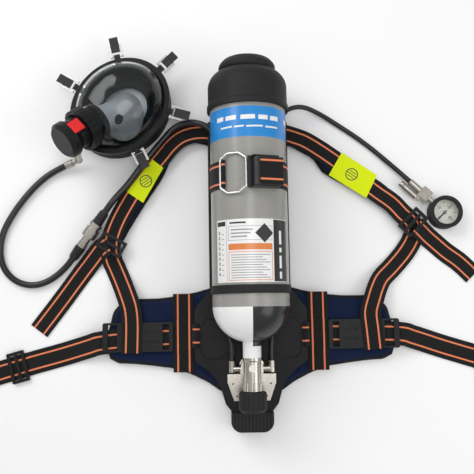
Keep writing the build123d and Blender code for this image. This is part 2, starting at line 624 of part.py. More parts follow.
sleeve -= rod(along(SLEEVE_START - 1), along(SOCKET_END), SOCKET_R + RUN_FIT)
save("coupling_sleeve", sleeve)
nipple = rod(along(40), along(SOCKET_END + 0.5), 6)
nipple += rod(along(SOCKET_END), along(74), 8.5)
nipple += rod(along(74), along(FAR_BOOT), 9.5)
save("coupling_plug", nipple)

# ------------------------------------------------------------------- mask
MASK_X = -247.0
MASK_Y = 459.0
MASK_TURN = 43.0
mask_place = Pos(MASK_X, MASK_Y, 0) * Rot(0, 0, MASK_TURN)


def oval(a, b, z):
    """An oval section of the mask at one height, long axis towards the forehead."""
    return Pos(0, 0, z) * Ellipse(a, b)


def oval_loft(levels):
    """A smooth solid through ovals given as (half length, half width, height)."""
    return loft([oval(a, b, z) for a, b, z in levels])


RIM_W = 8.0
seal_out = oval_loft([(MASK_A + 4, MASK_B + 4, 0.5), (MASK_A + 1, MASK_B + 1, SEAL_H)])
seal_in = oval_loft([(MASK_A - 22, MASK_B - 20, -0.5), (MASK_A - 11, MASK_B - 11, SEAL_H + 1)])
save("mask_skirt", mask_place * (seal_out - seal_in))
rim_z = SEAL_H
RIM_H = 9.0
rim = Pos(0, 0, rim_z) * extrude(Ellipse(MASK_A + 6, MASK_B + 6) - Ellipse(MASK_A - 4, MASK_B - 4), amount=RIM_H)
LENS_T = 3.0
visor_z = rim_z


def visor_levels(inset):
    """Ovals of the visor's outer or inner face."""
    shares = [(1.0, 0.0), (0.985, 0.2), (0.93, 0.45), (0.80, 0.70), (0.58, 0.88), (0.22, 1.0)]
    a, b = MASK_A - 4.3, MASK_B - 4.3
    return [(a * s - inset, b * s - inset, visor_z + (VISOR_H - inset) * h) for s, h in shares]


visor = oval_loft(visor_levels(0)) - Pos(0, 0, -0.01) * oval_loft(visor_levels(LENS_T))
# The port's axis leaves the chin end and leans up by PORT_LIFT degrees.
PORT_LIFT = 28.0
PORT_BACK = 60.0
PORT_Z = 82.0
lift = math.radians(PORT_LIFT)
port_plane = Plane(
    origin=(-PORT_BACK, 0, PORT_Z),
    x_dir=(math.sin(lift), 0, math.cos(lift)),
    z_dir=(-math.cos(lift), 0, math.sin(lift)),
)


def port_tube(low, high, radius, inner=0.0, end_radius=None):
    """A tube or cone on the port's axis between two distances from its centre."""
    if end_radius is None:
        tube = Pos(0, 0, low) * Cylinder(radius, high - low, align=LOW)
    else:
        tube = Pos(0, 0, low) * Cone(radius, end_radius, high - low, align=LOW)
    if inner > 0:
        tube -= Pos(0, 0, low - 1) * Cylinder(inner, high - low + 2, align=LOW)
    return port_plane * tube


PORT_TUBE_R = 34.0
RING_START = 16.0
RING_L = 20.0
ring_end = RING_START + RING_L
visor -= port_tube(-28, 60, PORT_TUBE_R)
visor -= port_tube(RING_START - GAP, 60, PORT_R + GAP)
visor = visor.solids().sort_by(SortBy.VOLUME)[-1]
save("mask_visor", mask_place * visor)
housing_end = RING_START + 4
port_housing = port_tube(-10, housing_end, PORT_TUBE_R, inner=PORT_TUBE_R - 8)
port_housing += port_tube(RING_START - 4, housing_end, PORT_TUBE_R)
inner_levels = [(48, 42, 12), (46, 40, 50), (36, 31, 80), (16, 14, 98)]
inner_hollow = [(a - 2.5, b - 2.5, z - 2.5) for a, b, z in inner_levels]
INNER_X = -14.0
oronasal = Pos(INNER_X, 0, 0) * (oval_loft(inner_levels) - oval_loft(inner_hollow))
oronasal -= port_tube(-60, 60, PORT_TUBE_R + GAP)
oronasal = oronasal.solids().sort_by(SortBy.VOLUME)[-1]
save("inner_mask", mask_place * oronasal)

ring = port_tube(RING_START, ring_end, PORT_R, inner=PORT_TUBE_R + RUN_FIT)
RING_GRIPS = 24
for index in range(RING_GRIPS):
    turn = 2 * math.pi * index / RING_GRIPS
    grip = Pos((PORT_R + 1) * math.cos(turn), (PORT_R + 1) * math.sin(turn), RING_START - 1)
    ring -= port_plane * grip * Cylinder(2.2, RING_L + 2, align=LOW)
save("port_ring", mask_place * ring)

# Strap buckles swing on lugs round the rim; angles run from the forehead.
BUCKLE_ANGLES = [0, 50, -50, 113, -113]
LUG_W = 12.0
LUG_OUT = 7.0
FRAME_W = 26.0
FRAME_L = 24.0
TAB_W = 17.0
TAB_L = 30.0
PIVOT_R = 1.5
buckle_z = rim_z + RIM_H / 2
rim_a, rim_b = MASK_A + 6, MASK_B + 6


def rim_plane(angle_deg):
    """A plane on the rim's outer face, x pointing out and z up."""
    angle = math.radians(angle_deg)
    reach = 1 / math.sqrt((math.cos(angle) / rim_a) ** 2 + (math.sin(angle) / rim_b) ** 2)
    x, y = reach * math.cos(angle), reach * math.sin(angle)
    outward = (x / rim_a ** 2, y / rim_b ** 2, 0)
    return Plane(origin=(x, y, buckle_z), x_dir=outward, z_dir=(0, 0, 1))


for number, angle in enumerate(BUCKLE_ANGLES, start=1):
    spot = rim_plane(angle)
    lug = block((-3, LUG_OUT + 2.5), (-LUG_W / 2, LUG_W / 2), (-2.5, 2.5))
    lug -= rod((LUG_OUT, -LUG_W, 0), (LUG_OUT, LUG_W, 0), PIVOT_R + RUN_FIT)
    rim += spot * lug
    out = LUG_OUT
    frame = block((out - 2, out + FRAME_L), (-FRAME_W / 2, FRAME_W / 2), (-2, 2))
    window_half = FRAME_W / 2 - 4
    frame -= block((out - 3, out + FRAME_L - 4), (-window_half, window_half), (-3, 3))
    frame += rod((out, -FRAME_W / 2 + 1, 0), (out, FRAME_W / 2 - 1, 0), PIVOT_R)
    tab = block((out + 7, out + 7 + TAB_L), (-TAB_W / 2, TAB_W / 2), (2, 5))
    save(f"mask_buckle_{number}", mask_place * (spot * frame), mask_place * (spot * tab))
rim -= port_tube(RING_START - 6, 60, PORT_R + 1)
save("mask_frame", mask_place * rim, mask_place * port_housing)

# ---------------------------------------------------------- demand valve
CAP_R = 35.0
barrel_end = housing_end + 38
cap_end = barrel_end + 22
dv = port_tube(housing_end, ring_end + 4, PORT_TUBE_R - 3)
dv += port_tube(ring_end + 3, barrel_end, BARREL_R)
dv += port_tube(barrel_end - 6, barrel_end + 4, BARREL_R, end_radius=CAP_R)
dv += port_tube(barrel_end + 4, cap_end - 6, CAP_R)
dv += port_tube(cap_end - 6, cap_end, CAP_R, end_radius=CAP_R - 6)
BUTTON_SIDE = 24.0
RESET_TRAVEL = 3.0
button_mid = ring_end + 4 + BUTTON_SIDE / 2
button_top = BARREL_R + 5
pocket_low = BARREL_R - 9


def button_block(side, low, high):
    """A square block standing on the barrel's upper side."""
    height = high - low
    return port_plane * Pos((low + high) / 2, 0, button_mid) * Box(height, side, side)


dv += button_block(BUTTON_SIDE + 5, pocket_low - 2, BARREL_R + 2)
dv -= button_block(BUTTON_SIDE + 2 * GAP, pocket_low, button_top + 10)
reset = button_block(BUTTON_SIDE, pocket_low + RESET_TRAVEL + 0.5, button_top)
save("reset_button", mask_place * reset)

# The hose joins the barrel's lower side through a swivel elbow.
ELBOW_R = 6.5
KNEE = (-131, -14, 21)
FERRULE_L = 16.0
HOSE_END = Vector(-360, 350, 13.5)
inlet_root = (mask_place * Pos(*(port_plane.from_local_coords(Vector(0, 0, ring_end + 18))))).position
knee = (mask_place * Pos(*KNEE)).position
arm_way = (HOSE_END - knee).normalized()
arm_end = HOSE_END - arm_way * FERRULE_L
elbow = rod(tuple(inlet_root), tuple(knee), ELBOW_R)
elbow += Pos(*knee) * Sphere(ELBOW_R + 1)
elbow += rod(tuple(knee), tuple(arm_end), ELBOW_R - 1)
elbow += rod(tuple(arm_end), tuple(HOSE_END), LP_D / 2 + 1.5)
elbow -= mask_place * dv
elbow = elbow.solids().sort_by(SortBy.VOLUME)[-1]
save("demand_valve", mask_place * dv)
save("hose_elbow", elbow)

boot_end = FAR_BOOT + BOOT_LEN
free_points = [
    along(boot_end), along(boot_end + 22), (-391, 122, 6.5), (-424, 112, 6.5), (-457, 120, 6.5),
    (-482, 144, 6.5), (-492, 178, 6.5), (-487, 217, 6.5), (-468, 254, 6.5), (-442, 290, 6.5),
    (-412, 322, 6.5), tuple(HOSE_END + arm_way * 24), tuple(HOSE_END),
]
save("lp_hose_free", hose(free_points, LP_D, "free hose"))

# ------------------------------------------------------------------ gauge
GAUGE_SPOT = Vector(386.5, 243, 0)
BLOCK_SPOT = Vector(348, 280, 0)
LINE_Z = 13.0
gauge_dir = (GAUGE_SPOT - BLOCK_SPOT).normalized()
line_plane = Plane(origin=(BLOCK_SPOT.X, BLOCK_SPOT.Y, LINE_Z), x_dir=gauge_dir, z_dir=(0, 0, 1))
FERRULE_FAR = 38.0
BLOCK_HALF = 11.0
block_body = Box(2 * BLOCK_HALF, 2 * BLOCK_HALF, 20)
block_body = fillet(block_body.edges().filter_by(Axis.Z), 2)
block_body += rod((-FERRULE_FAR, 0, 0), (-BLOCK_HALF + 1, 0, 0), HP_D / 2 + 2)
WHISTLE_R = 6.0
whistle = rod((-50, -15, 0), (-BLOCK_HALF + 2, -15, 0), WHISTLE_R)
whistle -= Pos(-42, -15, 3) * Box(5, 4, 8, align=LOW)
block_body += Pos(-6, -12, 0) * Box(10, 10, 10)
whistle -= block_body

gauge_far = (GAUGE_SPOT - BLOCK_SPOT).length
CASE_R = GAUGE_R - 4
CASE_LOW = 3.0
DIAL_Z = 10.0
LENS_Z = 21.0
gauge_at = Pos(GAUGE_SPOT.X, GAUGE_SPOT.Y, 0)
case = gauge_at * Pos(0, 0, CASE_LOW) * Cylinder(CASE_R, LENS_Z + 2 - CASE_LOW, align=LOW)
case -= gauge_at * Pos(0, 0, DIAL_Z - 2) * Cylinder(CASE_R - 2, 20, align=LOW)
stem_start = BLOCK_HALF + GAP
case += line_plane * rod((stem_start, 0, 0), (gauge_far - CASE_R + 1, 0, 0), 5)
case += line_plane * rod((BLOCK_HALF - 6, 0, 0), (stem_start + 1, 0, 0), 3)
case -= gauge_at * Pos(0, 0, DIAL_Z - 2) * Cylinder(CASE_R - 2, 20, align=LOW)
cover = gauge_at * Pos(0, 0, 0.5) * Cylinder(GAUGE_R, GAUGE_T - 0.5, align=LOW)
cover -= gauge_at * Pos(0, 0, CASE_LOW) * Cylinder(CASE_R, GAUGE_T, align=LOW)
cover += gauge_at * Pos(0, 0, LENS_Z + 2) * (
    Cylinder(CASE_R + 0.5, GAUGE_T - LENS_Z - 2, align=LOW) - Cylinder(CASE_R - 4, 20, align=LOW)
)
cover -= line_plane * rod((0, 0, 0), (gauge_far - CASE_R + 2, 0, 0), 5)
save("gauge_case", case)
save("gauge_cover", cover)
dial = gauge_at * Pos(0, 0, DIAL_Z - 2) * Cylinder(CASE_R - 2, 2, align=LOW)
PIVOT = 1.0
dial += gauge_at * Pos(0, 0, DIAL_Z - 1) * Cylinder(PIVOT, 6, align=LOW)
save("gauge_dial", dial)
needle = Pos(0, 0, DIAL_Z + 2) * Cylinder(3, 1.6, align=LOW)
needle += Pos(0, 0, DIAL_Z + 2) * block((-1.0, 1.0), (-6, CASE_R - 8), (0, 0.8))
needle -= Pos(0, 0, DIAL_Z) * Cylinder(PIVOT + RUN_FIT, 6, align=LOW)
NEEDLE_REST = 135.0
save("gauge_needle", gauge_at * Rot(0, 0, NEEDLE_REST) * needle)
save("gauge_lens", gauge_at * Pos(0, 0, LENS_Z) * Cylinder(CASE_R - 2, 2, align=LOW))
ferrule_tip = line_plane.from_local_coords(Vector(-FERRULE_FAR, 0, 0))
block_cut = rod((BLOCK_HALF - 6.3, 0, 0), (BLOCK_HALF + 1, 0, 0), 3 + RUN_FIT)
save("gauge_block", line_plane * (block_body - block_cut), line_plane * whistle)

ferrule_lead = line_plane.from_local_coords(Vector(-FERRULE_FAR - 24, 0, 0))
gauge_hose_points = [
    (FIT_X, hose_start_y, FITTING_Z), (FIT_X, -4, FITTING_Z), (45, 36, 44), (56, 96, 39),
    (55, 186, 38.5), (56, 276, 39), (58, 336, 40), (54, 376, 41), (55, 416, 40), (74, 449, 35),
    (110, 462, 21), (150, 446, 8), (182, 425, 4.8), (214, 403, 4.8), (246, 378, 4.8),
    (274, 352, 7), tuple(ferrule_lead), tuple(ferrule_tip),
]
save("gauge_hose", hose(gauge_hose_points, HP_D, "gauge hose"))
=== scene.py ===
# %% [markdown]
# # A firefighter's breathing apparatus, laid out on a pale floor
# The metal, plastic and rubber parts arrive as a fixed frame, in metres.
# This lesson adds what only Blender does well: hoses that lie naturally,
# padded straps, striped webbing, a printed label, and a finish for each part.

# %% Load the frame
import bpy
import bmesh
import math
from mathutils import Matrix, Vector
from mathutils.bvhtree import BVHTree
from mathutils.kdtree import KDTree


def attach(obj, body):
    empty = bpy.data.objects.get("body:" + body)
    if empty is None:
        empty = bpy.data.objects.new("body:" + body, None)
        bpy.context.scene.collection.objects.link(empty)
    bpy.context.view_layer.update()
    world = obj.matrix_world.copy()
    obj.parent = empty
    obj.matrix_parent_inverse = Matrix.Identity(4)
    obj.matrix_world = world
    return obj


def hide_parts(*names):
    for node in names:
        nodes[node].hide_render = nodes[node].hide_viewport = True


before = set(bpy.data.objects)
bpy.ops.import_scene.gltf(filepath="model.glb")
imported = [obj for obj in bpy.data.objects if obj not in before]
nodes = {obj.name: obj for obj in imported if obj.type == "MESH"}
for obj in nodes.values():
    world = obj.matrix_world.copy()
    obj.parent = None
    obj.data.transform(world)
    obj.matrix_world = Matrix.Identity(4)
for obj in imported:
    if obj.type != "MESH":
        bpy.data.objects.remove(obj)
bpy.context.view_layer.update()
scene = bpy.context.scene


# %% Two steps that every new piece needs
def add_object(name, data):
    made = bpy.data.objects.new(name, data)
    scene.collection.objects.link(made)
    return made


def as_mesh(name, shape):
    """Turns a bmesh into a mesh, and frees the bmesh."""
    mesh = bpy.data.meshes.new(name)
    shape.to_mesh(mesh)
    shape.free()
    return mesh


print("helpers add_object and as_mesh are ready")

# %% [markdown]
# ## Where the camera stands
# The set is seen from above, almost straight down, from standing height.
# A lens of 53 mm at 1.4 m gives the same mild perspective as a person
# leaning over it, so the tall cylinder hides a little of the harness.

# %% Camera
camera = add_object("camera", bpy.data.cameras.new("camera"))
camera.data.lens = 53.16
camera.data.sensor_width = 36.0
camera.location = (-0.0235, 0.055, 1.380)
tilt = Matrix.Rotation(math.radians(6.12), 4, "X")
roll = Matrix.Rotation(math.radians(-1.0), 4, "Z")
camera.rotation_euler = (tilt @ roll).to_euler()
scene.camera = camera
print("camera at", tuple(round(c, 3) for c in camera.location))

# %% [markdown]
# ## Two loose hoses
# A rubber hose keeps one length and bends in wide, even curves. A NURBS
# curve of order three through a few listed points bends like that.
# The medium-pressure hose runs from the quick coupling round to the mask.
# The thin hose runs from the reducer, behind the cylinder and over the
# wearer's right shoulder, to the gauge.


# %% Draw a hose along its route
POINT_RADIUS = 0.005        # a point's radius also counts in the curve's bounding box


def lay_hose(name, route, diameter):
    curve = bpy.data.curves.new(name, "CURVE")
    curve.dimensions = "3D"
    spline = curve.splines.new("NURBS")
    spline.points.add(len(route) - 1)
    for point, spot in zip(spline.points, route):
        point.co = (*spot, 1.0)
        point.radius = POINT_RADIUS
    spline.order_u = 3
    spline.use_endpoint_u = True
    spline.resolution_u = 10
    curve.bevel_depth = diameter / 2 / POINT_RADIUS
    curve.bevel_resolution = 5
    hose = add_object(name, curve)
    print(name, "has", len(route), "control points")
    return hose


# %% The hose between the coupling and the mask
supply_route = [
    (-0.34649, 0.16540, 0.01052), (-0.35947, 0.14785, 0.00784), (-0.391, 0.122, 0.0065),
    (-0.424, 0.112, 0.0065), (-0.457, 0.120, 0.0065), (-0.482, 0.144, 0.0065),
    (-0.492, 0.178, 0.0065), (-0.487, 0.217, 0.0065), (-0.468, 0.254, 0.0065),
    (-0.442, 0.290, 0.0065), (-0.412, 0.322, 0.0065), (-0.38188, 0.34230, 0.00735),
    (-0.360, 0.350, 0.0135),
]
supply_hose = lay_hose("supply_hose", supply_route, 0.0125)
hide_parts("lp_hose_free")
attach(supply_hose, "root")

# %% The hose between the reducer and the gauge
gauge_route = [
    (0.037, -0.036, 0.052), (0.037, -0.004, 0.052), (0.045, 0.036, 0.044), (0.056, 0.096, 0.039),
    (0.055, 0.186, 0.0385), (0.056, 0.276, 0.039), (0.058, 0.336, 0.040), (0.054, 0.376, 0.041),
    (0.055, 0.416, 0.040), (0.074, 0.449, 0.035), (0.110, 0.462, 0.021), (0.150, 0.446, 0.008),
    (0.182, 0.425, 0.0048), (0.214, 0.403, 0.0048), (0.246, 0.378, 0.0048), (0.274, 0.352, 0.007),
    (0.3033, 0.3230, 0.013), (0.3206, 0.3063, 0.013),
]
gauge_line = lay_hose("gauge_line", gauge_route, 0.0095)
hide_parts("gauge_hose")
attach(gauge_line, "root")

# %% [markdown]
# ## Floor and light
# A pale floor and large soft lights show shape without hard shadows.
# Plated metal needs something dark to mirror, so the sky is bright
# overhead and fades to grey near the horizon.

# %% Floor
FLOOR_HALF = 30.0           # wide enough that a low view never meets its edge
shaper = bmesh.new()
bmesh.ops.create_grid(shaper, x_segments=2, y_segments=2, size=FLOOR_HALF)
floor_mesh = as_mesh("studio_floor", shaper)
floor = add_object("studio_floor", floor_mesh)
floor.location.z = -0.0008
floor_paint = bpy.data.materials.new("floor_paint")
floor_paint.use_nodes = True
floor_shader = floor_paint.node_tree.nodes["Principled BSDF"]
floor_shader.inputs["Base Color"].default_value = (0.91, 0.91, 0.91, 1)
floor_shader.inputs["Roughness"].default_value = 0.7
floor_mesh.materials.append(floor_paint)
print("floor is", 2 * FLOOR_HALF, "m wide")


# %% Lights
scene.view_settings.view_transform = "Standard"


def soft_light(name, spot, target, size, watts):
    lamp = add_object(name, bpy.data.lights.new(name, "AREA"))
    lamp.data.shape = "RECTANGLE"
    lamp.data.size, lamp.data.size_y = size
    lamp.data.energy = watts
    lamp.location = spot
    lamp.rotation_euler = (Vector(target) - Vector(spot)).to_track_quat("-Z", "Y").to_euler()
    return lamp


MIDDLE = (0, 0.2, 0)
soft_light("window_light", (-1.3, 1.6, 1.7), MIDDLE, (1.6, 1.2), 24)
soft_light("fill_light", (1.6, -0.4, 1.5), MIDDLE, (1.2, 1.2), 9.5)
soft_light("top_light", (0.1, 0.3, 2.4), MIDDLE, (0.9, 0.9), 8)
sky = bpy.data.worlds.new("studio_sky")
scene.world = sky
sky.use_nodes = True
links = sky.node_tree.links
where = sky.node_tree.nodes.new("ShaderNodeTexCoord")
split = sky.node_tree.nodes.new("ShaderNodeSeparateXYZ")
ramp = sky.node_tree.nodes.new("ShaderNodeValToRGB")
links.new(where.outputs["Generated"], split.inputs[0])
links.new(split.outputs["Z"], ramp.inputs[0])
ramp.color_ramp.elements[0].position = 0.0
ramp.color_ramp.elements[0].color = (0.55, 0.56, 0.58, 1)
ramp.color_ramp.elements[1].position = 0.75
ramp.color_ramp.elements[1].color = (1.0, 1.0, 1.0, 1)
background = sky.node_tree.nodes["Background"]
links.new(ramp.outputs[0], background.inputs[0])
background.inputs[1].default_value = 0.66

# %% [markdown]
# ## Material building blocks
# Every finish is a Principled shader with a pattern made by nodes. A few
# short helpers keep the node trees readable: one adds a node and wires it,
# one turns a pattern into bump, and one reads the place on the object.


# %% Helpers for node trees
class Finish:
    """A material and the few steps used to build it."""

    def __init__(self, name, color, roughness, metallic=0.0):
        self.material = bpy.data.materials.new(name)
        self.material.use_nodes = True
        self.tree = self.material.node_tree
        self.shader = self.tree.nodes["Principled BSDF"]
        self.shader.inputs["Base Color"].default_value = (*color, 1)
        self.shader.inputs["Roughness"].default_value = roughness
        self.shader.inputs["Metallic"].default_value = metallic
        self.where = self.node("ShaderNodeTexCoord")

    def node(self, kind, **settings):
        made = self.tree.nodes.new(kind)
        for key, value in settings.items():
            setattr(made, key, value)
        return made

    def join(self, source, target):
        self.tree.links.new(source, target)

    def set(self, **values):
        for key, value in values.items():
            self.shader.inputs[key.replace("_", " ")].default_value = value

    def noise(self, scale, detail=3.0, vector=None, roughness=0.5):
        made = self.node("ShaderNodeTexNoise")
        made.inputs["Scale"].default_value = scale
        made.inputs["Detail"].default_value = detail
        made.inputs["Roughness"].default_value = roughness
        self.join(vector or self.where.outputs["Object"], made.inputs["Vector"])
        return made.outputs[0]

    def wave(self, scale, direction, vector=None, distortion=0.0):
        made = self.node("ShaderNodeTexWave", bands_direction=direction)
        made.inputs["Scale"].default_value = scale
        made.inputs["Distortion"].default_value = distortion
        self.join(vector or self.where.outputs["Object"], made.inputs["Vector"])
        return made.outputs[1]

    def math(self, operation, a, b=None, clamp=False):
        made = self.node("ShaderNodeMath", operation=operation, use_clamp=clamp)
        for slot, value in enumerate((a, b)):
            if value is None:
                continue
            if isinstance(value, (int, float)):
                made.inputs[slot].default_value = value
            else:
                self.join(value, made.inputs[slot])
        return made.outputs[0]

    def between(self, value, low, high):
        over = self.math("GREATER_THAN", value, low)
        under = self.math("LESS_THAN", value, high)
        return self.math("MULTIPLY", over, under)

    def stretch(self, value, low, high):
        made = self.node("ShaderNodeMapRange")
        made.inputs["To Min"].default_value = low
        made.inputs["To Max"].default_value = high
        self.join(value, made.inputs["Value"])
        return made.outputs[0]

    def blend(self, share, first, second):
        made = self.node("ShaderNodeMix", data_type="RGBA")
        for slot, value in zip((0, 6, 7), (share, first, second)):
            if isinstance(value, tuple):
                made.inputs[slot].default_value = (*value, 1)
            elif isinstance(value, (int, float)):
                made.inputs[slot].default_value = value
            else:
                self.join(value, made.inputs[slot])
        return made.outputs[2]

    def color(self, socket):
        self.join(socket, self.shader.inputs["Base Color"])

    def rough(self, socket):
        self.join(socket, self.shader.inputs["Roughness"])

    def bump(self, height, strength, distance):
        made = self.node("ShaderNodeBump")
        made.inputs["Strength"].default_value = strength
        made.inputs["Distance"].default_value = distance
        self.join(height, made.inputs["Height"])
        self.join(made.outputs[0], self.shader.inputs["Normal"])

    def attribute(self, name):
        made = self.node("ShaderNodeAttribute", attribute_name=name)
        return made.outputs["Fac"]

    def coordinates(self, which="Object"):
        made = self.node("ShaderNodeSeparateXYZ")
        self.join(self.where.outputs[which], made.inputs[0])
        return made.outputs[0], made.outputs[1], made.outputs[2]


print("helpers ready")

# %% [markdown]
# ## Rubber, plastic and plated metal
# Moulded rubber is dull with fine mottling. Hose rubber is smoother and
# catches long highlights. Moulded plastic has a spark-eroded grain.
# Nickel plate is a slightly warm mirror with faint polishing marks.

# %% Rubber and plastic
black_rubber = Finish("black_rubber", (0.018, 0.018, 0.019), 0.6)
mottle = black_rubber.noise(260, 4)
black_rubber.color(black_rubber.blend(mottle, (0.010, 0.010, 0.010), (0.020, 0.020, 0.020)))
black_rubber.set(Specular_IOR_Level=0.25)
black_rubber.rough(black_rubber.stretch(black_rubber.noise(45), 0.48, 0.72))
black_rubber.bump(mottle, 0.25, 0.0004)

hose_rubber = Finish("hose_rubber", (0.006, 0.006, 0.007), 0.32)
hose_rubber.rough(hose_rubber.stretch(hose_rubber.noise(70), 0.24, 0.42))
hose_rubber.bump(hose_rubber.noise(420, 2), 0.12, 0.0003)

black_plastic = Finish("black_plastic", (0.007, 0.007, 0.008), 0.4)
black_plastic.set(Specular_IOR_Level=0.25)
grain = black_plastic.noise(900, 2)
black_plastic.rough(black_plastic.stretch(black_plastic.noise(60), 0.32, 0.5))
black_plastic.bump(grain, 0.18, 0.0003)

plate_plastic = Finish("plate_plastic", (0.02, 0.024, 0.034), 0.5)
plate_plastic.color(plate_plastic.blend(
    plate_plastic.noise(30), (0.003, 0.003, 0.004), (0.007, 0.007, 0.009)))
plate_plastic.set(Specular_IOR_Level=0.22)
plate_plastic.rough(plate_plastic.stretch(plate_plastic.noise(80), 0.38, 0.55))
plate_plastic.bump(plate_plastic.noise(700, 3), 0.3, 0.0004)

red_plastic = Finish("red_plastic", (0.72, 0.012, 0.012), 0.3)
red_plastic.color(red_plastic.blend(red_plastic.noise(90), (0.62, 0.01, 0.01), (0.8, 0.02, 0.018)))
red_plastic.bump(red_plastic.noise(300, 2), 0.1, 0.0003)
print("rubber and plastic:", len(bpy.data.materials), "materials so far")

# %% Plated and painted metal
nickel = Finish("nickel_plate", (0.66, 0.62, 0.56), 0.2, 1.0)
polish = nickel.noise(120, 5, roughness=0.7)
nickel.color(nickel.blend(nickel.noise(35), (0.36, 0.33, 0.29), (0.56, 0.53, 0.48)))
nickel.rough(nickel.stretch(polish, 0.14, 0.36))
nickel.bump(polish, 0.08, 0.0002)

bright_steel = Finish("bright_steel", (0.72, 0.72, 0.72), 0.18, 1.0)
bright_steel.rough(bright_steel.stretch(bright_steel.noise(150), 0.1, 0.28))
bright_steel.bump(bright_steel.noise(500, 2), 0.05, 0.0002)

coated_steel = Finish("coated_steel", (0.016, 0.016, 0.017), 0.34)
coated_steel.rough(coated_steel.stretch(coated_steel.noise(90), 0.26, 0.46))
coated_steel.bump(coated_steel.noise(600, 2), 0.15, 0.0002)

# The buckle frame is plated; the strap end clamped on top of it is black
# rubber, and starts 50.7 mm above the floor.
STRAP_END_Z = 0.0507
buckle_finish = Finish("buckle_finish", (0.6, 0.6, 0.6), 0.3)
_, _, level = buckle_finish.coordinates()
on_strap_end = buckle_finish.math("GREATER_THAN", level, STRAP_END_Z)
buckle_finish.color(buckle_finish.blend(on_strap_end, (0.62, 0.6, 0.57), (0.008, 0.008, 0.009)))
plated = buckle_finish.math("SUBTRACT", 1.0, on_strap_end)
buckle_finish.join(plated, buckle_finish.shader.inputs["Metallic"])
buckle_finish.rough(buckle_finish.stretch(on_strap_end, 0.25, 0.6))
buckle_finish.bump(buckle_finish.noise(400, 2), 0.1, 0.0002)

turned_brass = Finish("turned_brass", (0.7, 0.5, 0.22), 0.25, 1.0)
turned_brass.rough(turned_brass.stretch(turned_brass.noise(200), 0.18, 0.36))
print("metals: nickel, bright steel, coated steel, brass")

# %% [markdown]
# ## Cylinder paint
# The bottle is sprayed grey, its shoulder has black and white quarters,
# and a blue sleeve is wrapped round it below the boot. All of these are
# rings or quarters, so the place on the object decides the colour.

# %% Paint by place
BLUE_LOW, BLUE_HIGH = 0.3620, 0.4170
NECK_Y, SHOULDER_Y = -0.006, 0.0640
SPLIT_X = 0.0015
AXIS_HEIGHT = 0.108
bottle_paint = Finish("bottle_paint", (0.2, 0.195, 0.18), 0.3)
px, py, pz = bottle_paint.coordinates()
speckle = bottle_paint.noise(24, 4)
grey = bottle_paint.blend(speckle, (0.27, 0.265, 0.245), (0.31, 0.305, 0.285))
blue = bottle_paint.blend(bottle_paint.noise(14), (0.012, 0.2, 0.56), (0.02, 0.26, 0.66))
white = bottle_paint.blend(speckle, (0.78, 0.78, 0.77), (0.86, 0.86, 0.85))
right_half = bottle_paint.math("GREATER_THAN", px, SPLIT_X)
upper_half = bottle_paint.math("GREATER_THAN", pz, AXIS_HEIGHT)
both = bottle_paint.math("MULTIPLY", right_half, upper_half)
either = bottle_paint.math("MAXIMUM", right_half, upper_half)
both_and_one = bottle_paint.math("ADD", both, 1.0)
dark_quarter = bottle_paint.math("SUBTRACT", both_and_one, either, clamp=True)
quarters = bottle_paint.blend(dark_quarter, white, (0.012, 0.012, 0.013))
in_shoulder = bottle_paint.between(py, NECK_Y, SHOULDER_Y)
in_neck = bottle_paint.math("LESS_THAN", py, NECK_Y)
in_band = bottle_paint.between(py, BLUE_LOW, BLUE_HIGH)
coat = bottle_paint.blend(in_band, grey, blue)
coat = bottle_paint.blend(in_shoulder, coat, quarters)
coat = bottle_paint.blend(in_neck, coat, (0.8, 0.8, 0.79))
bottle_paint.color(coat)
bottle_paint.rough(bottle_paint.stretch(bottle_paint.noise(50), 0.22, 0.36))
bottle_paint.set(Coat_Weight=0.2, Coat_Roughness=0.1, Specular_IOR_Level=0.4)
bottle_paint.bump(bottle_paint.noise(240, 2), 0.06, 0.0003)
print("blue sleeve from y", BLUE_LOW, "to", BLUE_HIGH)

# %% [markdown]
# ## Cloth finishes
# Pad cloth is a navy plain weave: two crossing sets of fine ridges. The
# binding tape round its edge is ribbed and black, and an attribute on the
# mesh says how far in from the edge a point lies, so the shader knows
# where tape ends and cloth begins.

# %% Pad cloth
TAPE_W = 0.0085
WAVE_LENGTH = 0.314         # metres from band to band of a wave at scale 1
WEAVE = 200
pad_cloth = Finish("pad_cloth", (0.012, 0.025, 0.075), 0.85)
rim_distance = pad_cloth.attribute("edge_distance")
on_tape = pad_cloth.math("LESS_THAN", rim_distance, TAPE_W)
weft = pad_cloth.wave(WEAVE, "X")
warp = pad_cloth.wave(WEAVE, "Y")
threads = pad_cloth.math("MULTIPLY", weft, warp)
navy = pad_cloth.blend(threads, (0.002, 0.006, 0.024), (0.006, 0.017, 0.062))
wear = pad_cloth.math("MULTIPLY", pad_cloth.noise(18, 4), 0.4)
navy = pad_cloth.blend(wear, navy, (0.008, 0.02, 0.07))
tape = pad_cloth.blend(weft, (0.004, 0.004, 0.005), (0.011, 0.011, 0.013))
pad_cloth.color(pad_cloth.blend(on_tape, navy, tape))
pad_cloth.rough(pad_cloth.stretch(pad_cloth.noise(120), 0.75, 0.95))
pad_relief = pad_cloth.math("ADD", threads, pad_cloth.math("MULTIPLY", on_tape, 0.6))
pad_cloth.bump(pad_relief, 0.5, 0.0006)
pad_cloth.set(Sheen_Weight=0.08, Sheen_Roughness=0.5, Specular_IOR_Level=0.15)
print("pad cloth: weave pitch", round(WAVE_LENGTH / WEAVE * 1000, 2), "mm")

# %% [markdown]
# ## Striped webbing
# Webbing is woven tape. Its two orange stripes run along it, and its fine
# ribs run across it, so the pattern has to follow each strap. The straps
# carry a UV map in metres: U is the distance along, V the place across.


# %% One webbing finish for each tape width
RIB_PITCH, CORD_PITCH = 0.0022, 0.0016


